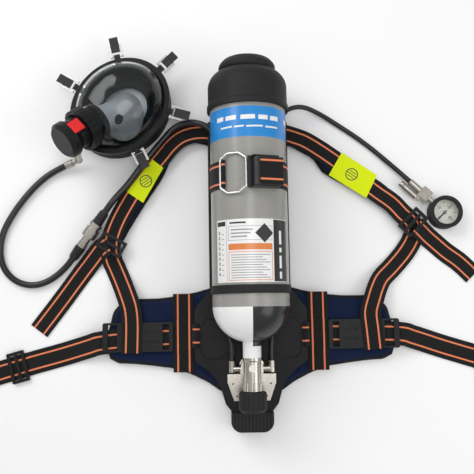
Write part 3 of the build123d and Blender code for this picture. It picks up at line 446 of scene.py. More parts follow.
def webbing_finish(name, width, stripe_at, stripe_w):
    tape = Finish(name, (0.012, 0.012, 0.013), 0.8)
    _, v, _ = tape.coordinates("UV")
    from_middle = tape.math("ABSOLUTE", tape.math("SUBTRACT", v, width / 2))
    stripe = tape.between(from_middle, stripe_at - stripe_w / 2, stripe_at + stripe_w / 2)
    ribs = tape.wave(WAVE_LENGTH / RIB_PITCH, "X", vector=tape.where.outputs["UV"])
    cords = tape.wave(WAVE_LENGTH / CORD_PITCH, "Y", vector=tape.where.outputs["UV"])
    relief = tape.math("ADD", tape.math("MULTIPLY", ribs, 0.6), tape.math("MULTIPLY", cords, 0.5))
    dark = tape.blend(relief, (0.004, 0.004, 0.004), (0.013, 0.012, 0.012))
    orange = tape.blend(relief, (0.62, 0.145, 0.055), (0.84, 0.25, 0.115))
    faded = tape.blend(tape.stretch(tape.noise(40), 0.0, 0.3), orange, (0.78, 0.31, 0.18))
    tape.color(tape.blend(stripe, dark, faded))
    tape.bump(relief, 0.55, 0.0005)
    tape.set(Sheen_Weight=0.08, Sheen_Roughness=0.6, Specular_IOR_Level=0.15)
    return tape


wide_webbing = webbing_finish("webbing_45", 0.045, 0.0125, 0.0032)
strap_webbing = webbing_finish("webbing_40", 0.040, 0.0110, 0.0032)
band_webbing = webbing_finish("webbing_50", 0.050, 0.0165, 0.0034)
print("webbing stripes at", 0.0125, 0.0110, 0.0165, "m from the middle")

# %% [markdown]
# A strap starts as a flat grid. Each row of the grid is moved to a place on
# a smooth line through the strap's stations. Solidify then gives it the
# thickness of webbing, and a small bevel rounds its edges.


# %% Lay a strap through its stations
def smooth_line(stations, steps):
    spots = [Vector(station) for station in stations]
    spots = [spots[0] * 2 - spots[1]] + spots + [spots[-1] * 2 - spots[-2]]
    line = []
    for a, b, c, d in zip(spots, spots[1:], spots[2:], spots[3:]):
        for step in range(steps):
            t = step / steps
            line.append(0.5 * (2 * b + (c - a) * t + (2 * a - 5 * b + 4 * c - d) * t * t
                               + (3 * b - a - 3 * c + d) * t ** 3))
    return line + [spots[-2]]


def lay_strap(name, stations, width, finish, side=None, steps=5, thickness=0.0018):
    """stations are in mm. side is the way across; a strap lying flat works out its own."""
    line = smooth_line([tuple(c / 1000 for c in s) for s in stations], steps)
    run = [0.0]
    for a, b in zip(line, line[1:]):
        run.append(run[-1] + (b - a).length)
    last = len(line) - 1
    ways = [(line[min(i + 1, last)] - line[max(i - 1, 0)]).normalized() for i in range(last + 1)]
    cloth = bmesh.new()
    uv = cloth.loops.layers.uv.new("UVMap")
    bmesh.ops.create_grid(cloth, x_segments=last, y_segments=6, size=0.5)
    for face in cloth.faces:
        for loop in face.loops:
            row = round((loop.vert.co.x + 0.5) * last)
            loop[uv].uv = (run[row], (loop.vert.co.y + 0.5) * width)
    for vert in cloth.verts:
        row = round((vert.co.x + 0.5) * last)
        across = Vector(side) if side else Vector((-ways[row].y, ways[row].x, 0)).normalized()
        vert.co = line[row] + across * (vert.co.y * width)
    mesh = as_mesh(name, cloth)
    mesh.shade_smooth()
    strap = add_object(name, mesh)
    mesh.materials.append(finish.material)
    thick = strap.modifiers.new("thickness", "SOLIDIFY")
    thick.thickness = thickness
    thick.offset = 1.0
    edge = strap.modifiers.new("soft edge", "BEVEL")
    edge.width = 0.0005
    edge.segments = 2
    edge.limit_method = "ANGLE"
    edge.harden_normals = False
    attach(strap, "root")
    print(name, "is", round(run[-1], 3), "m long")
    return strap


# %% Waist belts
left_waist = [
    (-109, 10, 18.2), (-149.5, 9, 18.2), (-230, 6, 18.2), (-290, 0, 18.2), (-312, -6, 12),
    (-340, -14, 3), (-372, -23, 0.6), (-430, -38, 0.6), (-500, -58, 0.6),
]
right_waist = [
    (109, 12, 18.2), (149.5, 12, 18.2), (230, 11, 18.2), (290, 8, 18.2), (312, 2, 12),
    (340, -7, 3), (372, -18, 0.6), (410, -30, 0.6), (452, -43, 0.6),
]
waist_left = lay_strap("waist_webbing_left", left_waist, 0.045, wide_webbing)
waist_right = lay_strap("waist_webbing_right", right_waist, 0.045, wide_webbing)
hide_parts("waist_belt_left")
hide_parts("waist_belt_right")

# %% Shoulder straps and their loose tails
left_pull = [
    (-64, 410, 15.4), (-100, 411, 15.4), (-128, 404, 15.4), (-150, 388, 15.4),
    (-172, 362, 15.4), (-205, 322, 15.4), (-229, 286, 15.4), (-252, 246, 15.4),
    (-265, 216, 15.4), (-270, 196, 15.4),
    (-271, 178, 14.4), (-269, 160, 7.4), (-263, 144, 2.6), (-253, 121, 5.2), (-241, 95, 19.2),
    (-231, 66, 25.4), (-228, 33, 25.4), (-229, -20, 25.4),
]
right_pull = [
    (64, 408, 15.4), (100, 396, 15.4), (121, 386, 15.4), (158, 361, 15.4),
    (205, 325, 15.4), (250, 288, 15.4), (282, 264, 15.4), (302, 242, 15.4),
    (318, 226, 15.2), (325, 208, 9.2),
    (321, 190, 3.4), (306, 166, 2.4), (281, 138, 3.4), (259, 117, 9.2), (247, 98, 19.2),
    (238, 76, 25.4), (231, 50, 25.4), (233, 20, 25.4), (236, -20, 25.4),
]
strap_left = lay_strap("pull_strap_left", left_pull, 0.040, strap_webbing)
strap_right = lay_strap("pull_strap_right", right_pull, 0.040, strap_webbing)
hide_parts("shoulder_strap_left")
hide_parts("shoulder_strap_right")
left_end = [(-276, 190, 22), (-290, 182, 15), (-301, 171, 7), (-314, 155, 3), (-330, 135, 0.6),
            (-370, 81, 0.6), (-413, 25, 0.6)]
right_end = [(328, 216, 22), (340, 207, 12), (352, 197, 4), (368, 183, 0.8), (388, 165, 0.6),
             (414, 145, 0.6), (440, 119, 0.6)]
lay_strap("strap_tail_left", left_end, 0.040, strap_webbing)
lay_strap("strap_tail_right", right_end, 0.040, strap_webbing)

# %% Straps sewn down the waist pad
for side, word in ((-1, "left"), (1, "right")):
    x = side * 129.5
    sewn = [(x, y, z) for y, z in ((-58, 18.2), (-24, 18.2), (-16, 20.1), (12, 20.2),
                                   (38, 20.1), (46, 18.2), (92, 18.2))]
    band = lay_strap("pad_strap_" + word, sewn, 0.040, strap_webbing)
    if side < 0:
        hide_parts("pad_straps")

# %% [markdown]
# ## The strap round the cylinder
# It comes up from the plate, round the bottle, and folds back over the wire
# link on one side and the cam buckle on the other. The same grid is laid
# on a circle a hair larger than the bottle.


# %% Wrap webbing round the bottle
WRAP_R = 70.2
WRAP_Y = 297
AXIS_Z = 108


def at_wrap(*spots):
    return [(x, WRAP_Y, z) for x, z in spots]


def round_bottle(start, end, radius, count):
    spots = []
    for step in range(count + 1):
        turn = math.radians(start + (end - start) * step / count)
        spots.append((radius * math.cos(turn), AXIS_Z + radius * math.sin(turn)))
    return at_wrap(*spots)


right_wrap = at_wrap((WRAP_R, 31), (WRAP_R, 60), (WRAP_R, 90))
right_wrap += round_bottle(4, 46, WRAP_R, 8)
right_wrap += at_wrap((50.5, 163), (48.5, 166.5), (46.0, 168.5), (44.5, 166.0))
left_wrap = at_wrap((-43.5, 167.0), (-45.5, 169.0), (-48.5, 166.8), (-50.8, 163.4))
left_wrap += round_bottle(136, 176, WRAP_R, 8)
left_wrap += at_wrap((-WRAP_R, 90), (-WRAP_R, 60), (-WRAP_R, 31))
for name, stations in (("bottle_strap_right", right_wrap), ("bottle_strap_left", left_wrap)):
    lay_strap(name, stations, 0.050, band_webbing, side=(0, -1, 0), steps=3)
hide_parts("cylinder_strap")

# %% [markdown]
# ## Padded straps and waist pad
# A foam pad swells most in its middle and is pinched where the binding is
# sewn. The pad starts from its plain solid, is thinned towards its edge,
# remeshed evenly, and then inflated gently with cloth simulation. After
# that its seams are pressed in, because remeshing would erase them.


# %% Press a plain solid into a thin-edged pad
def edge_tree(outline, spacing=0.002):
    spots = []
    for a, b in zip(outline, outline[1:] + outline[:1]):
        a, b = Vector((*a, 0)) / 1000, Vector((*b, 0)) / 1000
        count = max(1, int((b - a).length / spacing))
        spots += [a.lerp(b, k / count) for k in range(count)]
    tree = KDTree(len(spots))
    for index, spot in enumerate(spots):
        tree.insert(spot, index)
    tree.balance()
    return tree


def edge_gap(tree, spot):
    return tree.find(Vector((spot.x, spot.y, 0)))[2]


def settle(piece):
    """Makes the piece's modifiers part of its mesh."""
    graph = bpy.context.evaluated_depsgraph_get()
    settled = bpy.data.meshes.new_from_object(piece.evaluated_get(graph))
    piece.modifiers.clear()
    piece.data = settled
    return settled


def start_pad(name, node, tree, voxel, thin, reach):
    mesh = nodes[node].data.copy()
    mesh.materials.clear()
    pad = add_object(name, mesh)
    foam = bmesh.new()
    foam.from_mesh(mesh)
    bmesh.ops.remove_doubles(foam, verts=foam.verts, dist=1e-5)
    foam.to_mesh(mesh)
    foam.free()
    grid = pad.modifiers.new("even grid", "REMESH")
    grid.mode = "VOXEL"
    grid.voxel_size = voxel
    even = settle(pad)
    heights = [v.co.z for v in even.vertices]
    low, high = min(heights), max(heights)
    middle = (low + high) / 2
    for vert in even.vertices:
        gap = min(edge_gap(tree, vert.co) / reach, 1.0)
        share = thin + (1 - thin) * (1 - (1 - gap) ** 2)
        vert.co.z = low + (vert.co.z - low) * share + (middle - low) * 0.25 * (1 - share)
    print(name, "has", len(even.vertices), "grid points")
    return pad


# %% Swell the pads together
def swell(pads, pressure, cap, frames=20):
    before = {pad: [v.co.copy() for v in pad.data.vertices] for pad in pads}
    for pad in pads:
        cloth = pad.modifiers.new("swell", "CLOTH")
        cloth.settings.use_pressure = True
        cloth.settings.uniform_pressure_force = pressure
        cloth.settings.effector_weights.gravity = 0.0
        cloth.settings.quality = 5
        cloth.point_cache.frame_start = 1
        cloth.point_cache.frame_end = frames
    for step in range(1, frames + 1):
        scene.frame_set(step)
    graph = bpy.context.evaluated_depsgraph_get()
    for pad in pads:
        swollen = [v.co.copy() for v in pad.evaluated_get(graph).data.vertices]
        pad.modifiers.clear()
        moved = 0.0
        for vert, start, spot in zip(pad.data.vertices, before[pad], swollen):
            push = spot - start
            if push.length > cap:
                push = push.normalized() * cap
            moved = max(moved, push.length)
            vert.co = start + push
        print(pad.name, "moved up to", round(moved * 1000, 1), "mm")
    scene.frame_set(1)


# %% Outlines of the three pads
left_pad_edge = [
    (-62, 430), (-104, 431), (-130, 424), (-150, 414), (-174, 396), (-200, 366), (-226, 334),
    (-247, 303), (-259, 276), (-268, 252), (-274, 228), (-280, 206), (-264, 184), (-250, 198),
    (-234, 219), (-205, 264), (-179, 303), (-161, 333), (-154, 353), (-148, 374), (-134, 388),
    (-114, 395), (-94, 393), (-62, 386),
]
right_pad_edge = [
    (62, 428), (76, 425), (98, 418), (116, 408), (141, 393), (188, 368), (223, 343), (258, 316),
    (292, 287), (309, 267), (322, 251), (306, 226), (292, 233), (269, 250), (235, 274), (192, 299),
    (161, 317), (145, 329), (130, 352), (105, 369), (75, 389), (62, 392),
]
waist_half = [
    (76, 106), (105, 98), (143, 91), (178, 87), (231, 86), (255, 78), (269, 62), (280, 20),
    (283, -6), (276, -30), (259, -40), (207, -46), (150, -54), (116, -66), (84, -82), (58, -100),
]
waist_edge = waist_half + [(-x, y) for x, y in reversed(waist_half)]
pad_plans = {
    "waist_pad": ("lumbar_pad", waist_edge),
    "shoulder_pad_left_soft": ("shoulder_pad_left", left_pad_edge),
    "shoulder_pad_right_soft": ("shoulder_pad_right", right_pad_edge),
}
pads, trees = {}, {}
for name, (node, outline) in pad_plans.items():
    trees[name] = edge_tree(outline)
    pads[name] = start_pad(name, node, trees[name], voxel=0.005, thin=0.45, reach=0.016)
swell(list(pads.values()), pressure=4.0, cap=0.0028)


# %% Finish each pad: seams, floor side and attribute
SEAM_AT, SEAM_W, SEAM_DEPTH = 0.0095, 0.0018, 0.0012


def finish_pad(name, pad, floor_z, top_z):
    tree = trees[name]
    smoother = pad.modifiers.new("rounded", "SUBSURF")
    smoother.levels = smoother.render_levels = 1
    fine = settle(pad)
    spots = [v.co.copy() for v in fine.vertices]
    upward = [v.normal.z > 0.3 for v in fine.vertices]
    gaps = [edge_gap(tree, spot) for spot in spots]
    for spot, gap, on_top in zip(spots, gaps, upward):
        if on_top:
            spot.z -= SEAM_DEPTH * math.exp(-((gap - SEAM_AT) / SEAM_W) ** 2)
        spot.z = min(max(spot.z, floor_z), top_z)
    fine.vertices.foreach_set("co", [c for spot in spots for c in spot])
    fine.attributes.new("edge_distance", "FLOAT", "POINT").data.foreach_set("value", gaps)
    fine.update()
    fine.shade_smooth()
    fine.materials.append(pad_cloth.material)
    print(name, "has", len(fine.polygons), "faces")


limits = {"waist_pad": (0.0, 0.0182), "shoulder_pad_left_soft": (0.0006, 0.0156),
          "shoulder_pad_right_soft": (0.0006, 0.0156)}
for name, pad in pads.items():
    finish_pad(name, pad, *limits[name])
    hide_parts(pad_plans[name][0])
    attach(pad, "root")

# %% [markdown]
# ## Yellow-green patches
# Each shoulder pad carries a reflective cloth patch, sewn along its edges.
# A plain round badge stands where a maker would print its own.

# %% Patch cloth
patch_cloth_painted_glow = Finish("patch_cloth_painted_glow", (0.66, 0.86, 0.02), 0.55)
PATCH_WEAVE = 210
patch_weave = patch_cloth_painted_glow.math(
    "MULTIPLY", patch_cloth_painted_glow.wave(PATCH_WEAVE, "X"), patch_cloth_painted_glow.wave(PATCH_WEAVE, "Y"))
patch_cloth_painted_glow.color(patch_cloth_painted_glow.blend(patch_weave, (0.58, 0.70, 0.002), (0.72, 0.82, 0.006)))
patch_cloth_painted_glow.bump(patch_weave, 0.3, 0.0003)
# The faint emission is a painted glow: it makes the cloth shine as if lit, though the patch is no
# lamp.
patch_cloth_painted_glow.set(Emission_Color=(0.75, 0.9, 0.0, 1), Emission_Strength=0.08,
                Specular_IOR_Level=0.15)
print("patch cloth ready")

# %% [markdown]
# ## Clear parts, silicone and the dial
# The visor is polycarbonate: clear, smoky at a grazing view. The inner mask
# is grey silicone, a little translucent. The dial is printed paper.

# %% Clear parts
visor_clear = Finish("visor_clear", (0.72, 0.75, 0.77), 0.03)
visor_clear.set(Transmission_Weight=1.0, IOR=1.1, Coat_Weight=0.5, Coat_Roughness=0.03)
gauge_glass = Finish("gauge_glass", (0.97, 0.98, 0.98), 0.03)
gauge_glass.set(Transmission_Weight=1.0, IOR=1.15)
grey_silicone = Finish("grey_silicone", (0.3, 0.31, 0.32), 0.42)
grey_silicone.color(grey_silicone.blend(
    grey_silicone.noise(40), (0.42, 0.43, 0.44), (0.52, 0.53, 0.54)))
grey_silicone.set(Subsurface_Weight=0.15, Subsurface_Scale=0.01)
grey_silicone.bump(grey_silicone.noise(350, 2), 0.08, 0.0003)
dial_paper = Finish("dial_paper", (0.83, 0.82, 0.74), 0.5)
dial_paper.color(dial_paper.blend(dial_paper.noise(60), (0.8, 0.79, 0.7), (0.86, 0.86, 0.79)))
print("clear parts, silicone and dial paper ready")

# %% [markdown]
# ## Print on the bottle
# The label, and the white marks on the blue sleeve, are stickers. Each one
# is a flat grid bent round the bottle, a few hundredths of a millimetre
# proud of whatever lies under it. Bars stand in for lines of type.


# %% Stickers bent round the bottle
def print_ink(name, color):
    ink = Finish(name, color, 0.35)
    lift = ink.noise(90)
    ink.color(ink.blend(lift, tuple(c * 0.92 for c in color), color))
    ink.set(Coat_Weight=0.3, Coat_Roughness=0.15)
    return ink.material


inks = {
    "white": print_ink("label_white", (0.84, 0.84, 0.83)),
    "black": print_ink("label_black", (0.012, 0.012, 0.013)),
    "orange": print_ink("label_orange", (0.72, 0.22, 0.05)),
    "grey": print_ink("label_grey", (0.3, 0.3, 0.3)),
}
ink_order = list(inks)
BOTTLE_R, PRINT_R = 70, 70.06
ON_PAINT, ON_LABEL, ON_BLACK = 0.00, 0.05, 0.09
stickers = bmesh.new()


def sticker(left, right, low, high, ink, lift, turn=0.0, slant=0.0):
    """left and right are arc lengths from the top of the bottle, in mm. lift is by how far
    the print stands proud of the bottle, and slant how much it climbs along the arc."""
    before = len(stickers.verts)
    columns = max(1, int((right - left) / 3))
    rows = columns if turn else 1
    bmesh.ops.create_grid(stickers, x_segments=columns, y_segments=rows, size=0.5)
    stickers.verts.ensure_lookup_table()
    fresh = stickers.verts[before:]
    middle = Vector(((left + right) / 2, (low + high) / 2, 0))
    bmesh.ops.scale(stickers, verts=fresh, vec=(right - left, high - low, 1))
    bmesh.ops.rotate(stickers, verts=fresh, cent=(0, 0, 0),
                     matrix=Matrix.Rotation(math.radians(turn), 3, "Z"))
    bmesh.ops.translate(stickers, verts=fresh, vec=middle)
    radius = PRINT_R + lift
    for vert in fresh:
        arc = vert.co.x / BOTTLE_R
        y = vert.co.y + slant * (vert.co.x - middle.x)
        vert.co = Vector((radius * math.sin(arc), y, AXIS_Z + radius * math.cos(arc))) / 1000
    for face in {f for v in fresh for f in v.link_faces}:
        face.material_index = ink_order.index(ink)


def box_lines(left, right, low, high, line, ink):
    sticker(left, right, low, low + line, ink, ON_LABEL)
    sticker(left, right, high - line, high, ink, ON_LABEL)
    sticker(left, left + line, low, high, ink, ON_LABEL)
    sticker(right - line, right, low, high, ink, ON_LABEL)


# %% The label
sticker(-69, 81, 106, 216, "white", ON_PAINT)
sticker(43, 80, 107, 215, "black", ON_LABEL)
sticker(-67, -47, 205, 213, "black", ON_LABEL)
for row in range(9):
    low = 118 + row * 9
    sticker(-64, -60, low, low + 6, "grey", ON_LABEL)
    sticker(-56, -51, low, low + 1.5, "grey", ON_LABEL)
sticker(-45, -44.2, 107, 215, "grey", ON_LABEL)
sticker(-38, -8, 208, 211, "black", ON_LABEL)
for row, stop in enumerate((-6, 0, 4)):
    sticker(-36, stop, 184 + row * 6, 186.4 + row * 6, "grey", ON_LABEL)
box_lines(-41, 40, 178.5, 203.8, 0.8, "grey")
sticker(13, 37, 179, 203, "black", ON_BLACK, turn=45)
sticker(-41, 40, 162, 173, "orange", ON_LABEL)
box_lines(-41, 40, 109, 159.2, 1.2, "orange")
for row in range(10):
    low = 113 + row * 4.4
    sticker(-36, 35 - 7 * (row % 3), low, low + 1.5, "grey", ON_LABEL)
for y0, y1 in ((112, 124), (130, 152), (158, 166), (172, 196)):
    sticker(56, 62, y0, y1, "white", ON_BLACK)

# %% White dashes on the blue sleeve
for x0, x1 in ((-64, -48), (-43, -22), (-14, 12), (18, 36), (41, 60), (82, 100)):
    sticker(x0, x1, 393, 401, "white", ON_PAINT, slant=0.03)
for x0, x1 in ((-54, -30), (-26, -8), (-4, 26), (31, 58)):
    sticker(x0, x1, 379, 382, "white", ON_PAINT, slant=0.03)
label_mesh = as_mesh("bottle_print", stickers)
for ink in ink_order:
    label_mesh.materials.append(inks[ink])
bottle_print = add_object("bottle_print", label_mesh)
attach(bottle_print, "root")
print("print:", len(label_mesh.polygons), "faces")

# %% [markdown]
# ## The dial's scale
# The gauge reads 0 to 30 MPa round three quarters of a circle. The ticks
# are thin bars turned about the dial's centre, and the numbers are text
# made into a mesh and set in place.

# %% Ticks and numbers
DIAL = Vector((0.3865, 0.243, 0.01012))
SCALE_R, NUMBER_R = 0.0240, 0.0145
START_ANGLE, SWEEP, FULL_SCALE = 225.0, -270.0, 30


def scale_angle(value):
    return math.radians(START_ANGLE + SWEEP * value / FULL_SCALE)


scale = bmesh.new()
for tick in range(FULL_SCALE + 1):
    long_one = tick % 5 == 0
    angle = scale_angle(tick)
    length, breadth = (0.0052, 0.0009) if long_one else (0.0030, 0.0005)
    before = len(scale.verts)
    bmesh.ops.create_grid(scale, x_segments=1, y_segments=1, size=0.5)
    scale.verts.ensure_lookup_table()
    fresh = scale.verts[before:]
    bmesh.ops.scale(scale, verts=fresh, vec=(length, breadth, 1))
    bmesh.ops.translate(scale, verts=fresh, vec=(SCALE_R - length / 2, 0, 0))
    bmesh.ops.rotate(scale, verts=fresh, cent=(0, 0, 0), matrix=Matrix.Rotation(angle, 3, "Z"))
    bmesh.ops.translate(scale, verts=fresh, vec=DIAL)
scale_mesh = as_mesh("dial_scale", scale)
scale_mesh.materials.append(inks["black"])
dial_scale = add_object("dial_scale", scale_mesh)
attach(dial_scale, "gauge_body")
for number in range(0, FULL_SCALE + 1, 10):
    words = bpy.data.curves.new("dial_number", "FONT")
    words.body = str(number)
    words.size = 0.0075
    words.align_x = "CENTER"
    words.align_y = "CENTER"
    writing = add_object("dial_number", words)
    shape = bpy.data.meshes.new_from_object(writing)
    bpy.data.objects.remove(writing)
    angle = scale_angle(number)
    spot = DIAL + Vector((math.cos(angle), math.sin(angle), 0)) * NUMBER_R
    shape.transform(Matrix.Translation(spot))
    shape.materials.clear()
    shape.materials.append(inks["black"])
    numeral = add_object("dial_number_%d" % number, shape)
    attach(numeral, "gauge_body")
print("dial has 31 ticks and 4 numbers")

# %% [markdown]
# ## Webbing folded over the cam buckle
# The free end of the bottle's strap is folded over the lever, so it moves
# with the lever. It lies on the lever's flat top.

# %% Webbing on the lever
BUCKLE_LEAN = math.radians(20)
BUCKLE_R = 72.6
outward = Vector((math.sin(BUCKLE_LEAN), 0, math.cos(BUCKLE_LEAN)))
around = Vector((math.cos(BUCKLE_LEAN), 0, -math.sin(BUCKLE_LEAN)))


def on_buckle(x, height):
    spot = Vector((0, WRAP_Y, AXIS_Z)) + outward * (BUCKLE_R + height) + around * x
    return tuple(spot)


fold = [on_buckle(x, height) for x, height in (
    (-12, 15.4), (0, 15.4), (18, 15.4), (28.5, 15.3), (29.5, 12.5), (26, 10.5))]
lever_webbing = lay_strap("lever_webbing", fold, 0.046, band_webbing, side=(0, 1, 0), steps=4)
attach(lever_webbing, "cam_lever_body")

# %% [markdown]
# ## Inside the mask
# A soft grey cup covers nose and mouth and leads to the port. It is one
# ring of points, extruded stage by stage along a bent path: each stage is
# carried from the last one's place to its own. Inside the rim a black
# rubber lip turns inward, and keeps the air in.

# %% Place things in the mask's own frame
MASK_TURN = math.radians(43)
MASK_PLACE = Matrix.Translation((-0.247, 0.459, 0)) @ Matrix.Rotation(MASK_TURN, 4, "Z")
PORT_TILT = math.radians(28)


def stage_place(center, turn, length, breadth):
    spot = Matrix.Translation(Vector(center) / 1000)
    size = Matrix.Diagonal((length / 1000, breadth / 1000, 1, 1))
    return MASK_PLACE @ spot @ turn.to_matrix().to_4x4() @ size


def extrude_rings(name, stages, segments=48):
    """A skin through rings; each stage is a matrix that places a unit circle."""
    skin = bmesh.new()
    bmesh.ops.create_circle(skin, segments=segments, radius=1.0, cap_ends=False)
    ring = skin.edges[:]
    bmesh.ops.transform(skin, matrix=stages[0], verts=skin.verts[:])
    for before, after in zip(stages, stages[1:]):
        grown = bmesh.ops.extrude_edge_only(skin, edges=ring)["geom"]
        fresh = [g for g in grown if isinstance(g, bmesh.types.BMVert)]
        ring = [g for g in grown if isinstance(g, bmesh.types.BMEdge)]
        bmesh.ops.transform(skin, matrix=after @ before.inverted(), verts=fresh)
    bmesh.ops.recalc_face_normals(skin, faces=skin.faces[:])
    mesh = as_mesh(name, skin)
    mesh.shade_smooth()
    print(name, "has", len(stages), "rings")
    return add_object(name, mesh)


def wall(piece, thickness):
    skin = piece.modifiers.new("wall", "SOLIDIFY")
    skin.thickness = thickness
    skin.offset = -1.0
    soft = piece.modifiers.new("soft", "SUBSURF")
    soft.levels = soft.render_levels = 1


# %% The nose cup
flat_turn = Matrix.Rotation(MASK_TURN, 3, "Z").to_quaternion()
port_turn = Vector((-math.cos(PORT_TILT), 0, math.sin(PORT_TILT))).to_track_quat("Z", "Y")
port_turn = port_turn if port_turn.dot(flat_turn) > 0 else -port_turn
cup_stages = []
for share, center, length, breadth in (
        (0.0, (-6, -12, 13), 46, 34), (0.0, (-6, -12, 15), 50, 38), (0.05, (-7, -12, 19), 50, 38),
        (0.2, (-12, -11, 33), 43, 35), (0.4, (-20, -9, 47), 36, 32), (0.62, (-29, -6, 59), 31, 30),
        (0.82, (-38, -3, 69), 28, 28), (1.0, (-47, 0, 75), 27, 27), (1.0, (-54, 0, 79), 27, 27)):
    cup_stages.append(stage_place(center, flat_turn.slerp(port_turn, share), length, breadth))
nose_cup = extrude_rings("nose_cup", cup_stages)
wall(nose_cup, 0.002)
nose_cup.data.materials.append(grey_silicone.material)
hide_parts("inner_mask")
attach(nose_cup, "root")

# %% The check valve on the cup
bpy.context.view_layer.update()
cup_skin = BVHTree.FromObject(nose_cup, bpy.context.evaluated_depsgraph_get())
valve_spot = MASK_PLACE @ Vector((-0.022, -0.026, 0))
hit, slope, _, _ = cup_skin.ray_cast(Vector((valve_spot.x, valve_spot.y, 0.2)), Vector((0, 0, -1)))
slope = slope if slope.z > 0 else -slope
valve_place = Matrix.Translation(hit) @ slope.to_track_quat("Z", "Y").to_matrix().to_4x4()


def unit_ring(height, radius):
    lift = Matrix.Translation((0, 0, height / 1000))
    return valve_place @ lift @ Matrix.Diagonal((radius / 1000, radius / 1000, 1, 1))


check_valve = extrude_rings("check_valve", [unit_ring(h, r) for h, r in (
    (-2, 10), (1.6, 10), (2.4, 9.2), (2.4, 7.5), (1.4, 7), (1.4, 3.2), (2.6, 2.8), (3.0, 1.6),
    (3.0, 0.05))], 32)
check_valve.data.materials.append(black_plastic.material)
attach(check_valve, "root")

# %% The rubber lip inside the rim
level = Matrix.Identity(3).to_quaternion()
lip = extrude_rings("face_seal_lip", [stage_place((0, 0, z), level, a, b) for z, a, b in (
    (30, 84, 68), (16, 79, 64), (6, 74, 60), (3, 68, 55), (5, 61, 49), (10, 54, 43),
    (12, 52, 41))], 64)
wall(lip, 0.0022)
lip.data.materials.append(black_rubber.material)
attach(lip, "root")

# %% [markdown]
# ## Ribbed hose sleeves
# The sleeves at the quick coupling are ribbed, so the hose does not kink
# there. Each rib is a small circle spun once round the sleeve's axis.


# %% Ribs on the sleeves
COUPLING_START = Vector((-0.281, 0.254, 0.024))
COUPLING_WAY = Vector((-0.58998, -0.79820, -0.12147)).normalized()


def spun_ring(name, center, axis, major, minor, finish):
    rib = bmesh.new()
    bmesh.ops.create_circle(rib, segments=10, radius=minor)
    turn = Matrix.Rotation(math.radians(90), 4, "X")
    bmesh.ops.transform(rib, matrix=Matrix.Translation((major, 0, 0)) @ turn, verts=rib.verts[:])
    bmesh.ops.spin(rib, geom=rib.verts[:] + rib.edges[:], cent=(0, 0, 0), axis=(0, 0, 1),
                   angle=2 * math.pi, steps=36, use_merge=True)
    bmesh.ops.remove_doubles(rib, verts=rib.verts[:], dist=1e-6)
    bmesh.ops.recalc_face_normals(rib, faces=rib.faces[:])
    place = Matrix.Translation(center) @ Vector(axis).to_track_quat("Z", "Y").to_matrix().to_4x4()
    bmesh.ops.transform(rib, matrix=place, verts=rib.verts[:])
    mesh = as_mesh(name, rib)
    mesh.shade_smooth()
    mesh.materials.append(finish.material)
    return add_object(name, mesh)


SLEEVE_LONG, COUPLING_LONG = 28, 111
THIN_END_R, SLEEVE_GROWS, RIB_R = 0.0084, 0.0014, 0.0013
first_sleeve, second_sleeve = range(5, 26, 4), range(86, 107, 4)
for number, along in enumerate((*first_sleeve, *second_sleeve)):
    from_end = along if along in first_sleeve else COUPLING_LONG - along
    center = COUPLING_START + COUPLING_WAY * (along / 1000)
    rib = spun_ring("sleeve_rib_%02d" % number, center, COUPLING_WAY,
                    THIN_END_R + SLEEVE_GROWS * (from_end / SLEEVE_LONG), RIB_R, hose_rubber)
    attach(rib, "root")
print("12 ribs on two sleeves")

# %% [markdown]
# ## Small things that are easy to miss
# A badge on each patch, the belt coming up through the plate's slots, and
# the painted shade in the screws' hexagon sockets are what make the set look handled.

# %% Badges on the patches
badge_at = {"left": ((-0.2015, 0.3150, 0.01842), 33), "right": ((0.2050, 0.3215, 0.01842), -35)}
for word, (spot, turn) in badge_at.items():
    badge = bmesh.new()
    bmesh.ops.create_circle(badge, segments=40, radius=0.0125)
    grown = bmesh.ops.extrude_edge_only(badge, edges=badge.edges[:])["geom"]
    fresh = [g for g in grown if isinstance(g, bmesh.types.BMVert)]
    bmesh.ops.scale(badge, verts=fresh, vec=(0.84, 0.84, 1))
    for bar_y, bar_x in ((0.005, 0.0075), (0.0, 0.0105), (-0.005, 0.0075)):
        before = len(badge.verts)
        bmesh.ops.create_grid(badge, x_segments=1, y_segments=1, size=0.5)
        badge.verts.ensure_lookup_table()
        bar = badge.verts[before:]
        bmesh.ops.scale(badge, verts=bar, vec=(bar_x * 2, 0.0016, 1))
        bmesh.ops.translate(badge, verts=bar, vec=(0, bar_y, 0))
    bmesh.ops.recalc_face_normals(badge, faces=badge.faces[:])
    for face in badge.faces:
        if face.normal.z < 0:
            face.normal_flip()
    place = Matrix.Translation(spot) @ Matrix.Rotation(math.radians(turn), 4, "Z")
    bmesh.ops.transform(badge, matrix=place, verts=badge.verts[:])
    mesh = as_mesh("patch_badge_" + word, badge)
    mesh.materials.append(inks["black"])
    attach(add_object("patch_badge_" + word, mesh), "root")
print("two badges, 25 mm across")

# %% Belt ends through the plate's slots
for side, word in ((-1, "left"), (1, "right")):
    climb = [(side * x, 11, z) for x, z in (
        (98, 26), (99.5, 29.6), (102, 30.6), (105.5, 30.5), (108.6, 28.6), (109.6, 23.5),
        (112, 19.2))]
    lay_strap("belt_loop_" + word, climb, 0.045, wide_webbing, steps=3)
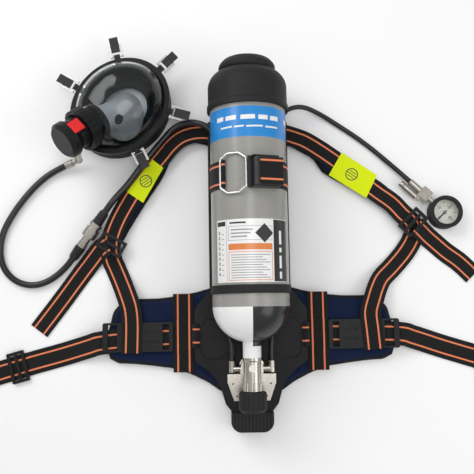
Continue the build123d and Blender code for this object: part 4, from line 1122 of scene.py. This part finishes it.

# %% Screw sockets, painted as black hexagons of shade
SCREW_TOP = 0.03524
# Each socket is a recess. A flat black hexagon on the screw head stands in for the shade inside
# it: painted shade.
sockets = bmesh.new()
for x, y in ((-36, -80), (36, -80), (-28, -103), (28, -103)):
    place = Matrix.Translation((x / 1000, y / 1000, SCREW_TOP))
    bmesh.ops.create_circle(sockets, segments=6, radius=0.0018, cap_ends=True, matrix=place)
socket_shade_mesh = as_mesh("screw_socket_shade", sockets)
socket_shade_mesh.materials.append(inks["black"])
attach(add_object("screw_socket_shade", socket_shade_mesh), "root")
print("four hexagon sockets")

# %% [markdown]
# ## Dress the frame
# Each solid from the frame gets the finish of the real part. The webbing,
# the pads and the two hoses are hidden, as their new pieces stand for them.

# %% Give each node its finish
dress = {
    plate_plastic: ["backplate"],
    black_rubber: ["bottom_bumper", "cylinder_boot", "cylinder_band", "handwheel",
                   "mask_skirt", "gauge_cover"],
    hose_rubber: ["lp_hose_held", "hose_boots"],
    black_plastic: ["waist_plates", "strap_sliders", "belt_buckle_body", "belt_buckle_tongue",
                    "demand_valve", "mask_frame", "port_ring"],
    red_plastic: ["reset_button", "belt_buckle_button"],
    nickel: ["valve_body", "burst_disc_plug", "gland_nut", "valve_spindle", "reducer_body",
             "reducer_fittings", "bracket_plate", "bracket_screws", "coupling_plug",
             "coupling_socket", "coupling_sleeve", "hose_elbow", "gauge_block", "gauge_case"],
    bright_steel: ["strap_link"],
    buckle_finish: ["mask_buckle_%d" % n for n in range(1, 6)],
    coated_steel: ["cam_buckle_base", "cam_buckle_lever", "gauge_needle"],
    turned_brass: ["valve_plug", "reducer_piston"],
    bottle_paint: ["cylinder_shell"],
    patch_cloth_painted_glow: ["chest_patches"],
    visor_clear: ["mask_visor"],
    gauge_glass: ["gauge_lens"],
    dial_paper: ["gauge_dial"],
}
for finish, names in dress.items():
    for name in names:
        for place in nodes[name].material_slots:
            place.material = finish.material
for hose in (supply_hose, gauge_line):
    hose.data.materials.append(hose_rubber.material)
hidden = {"inner_mask", "lumbar_pad", "shoulder_pad_left", "shoulder_pad_right",
          "waist_belt_left", "waist_belt_right", "shoulder_strap_left",
          "shoulder_strap_right", "pad_straps", "cylinder_strap", "lp_hose_free", "gauge_hose"}
undressed = set(nodes) - hidden - {name for names in dress.values() for name in names}
print("nodes without a finish:", sorted(undressed))

# %% [markdown]
# The new pieces must stay in the frame's box.

# %% Done
print("scene ready")
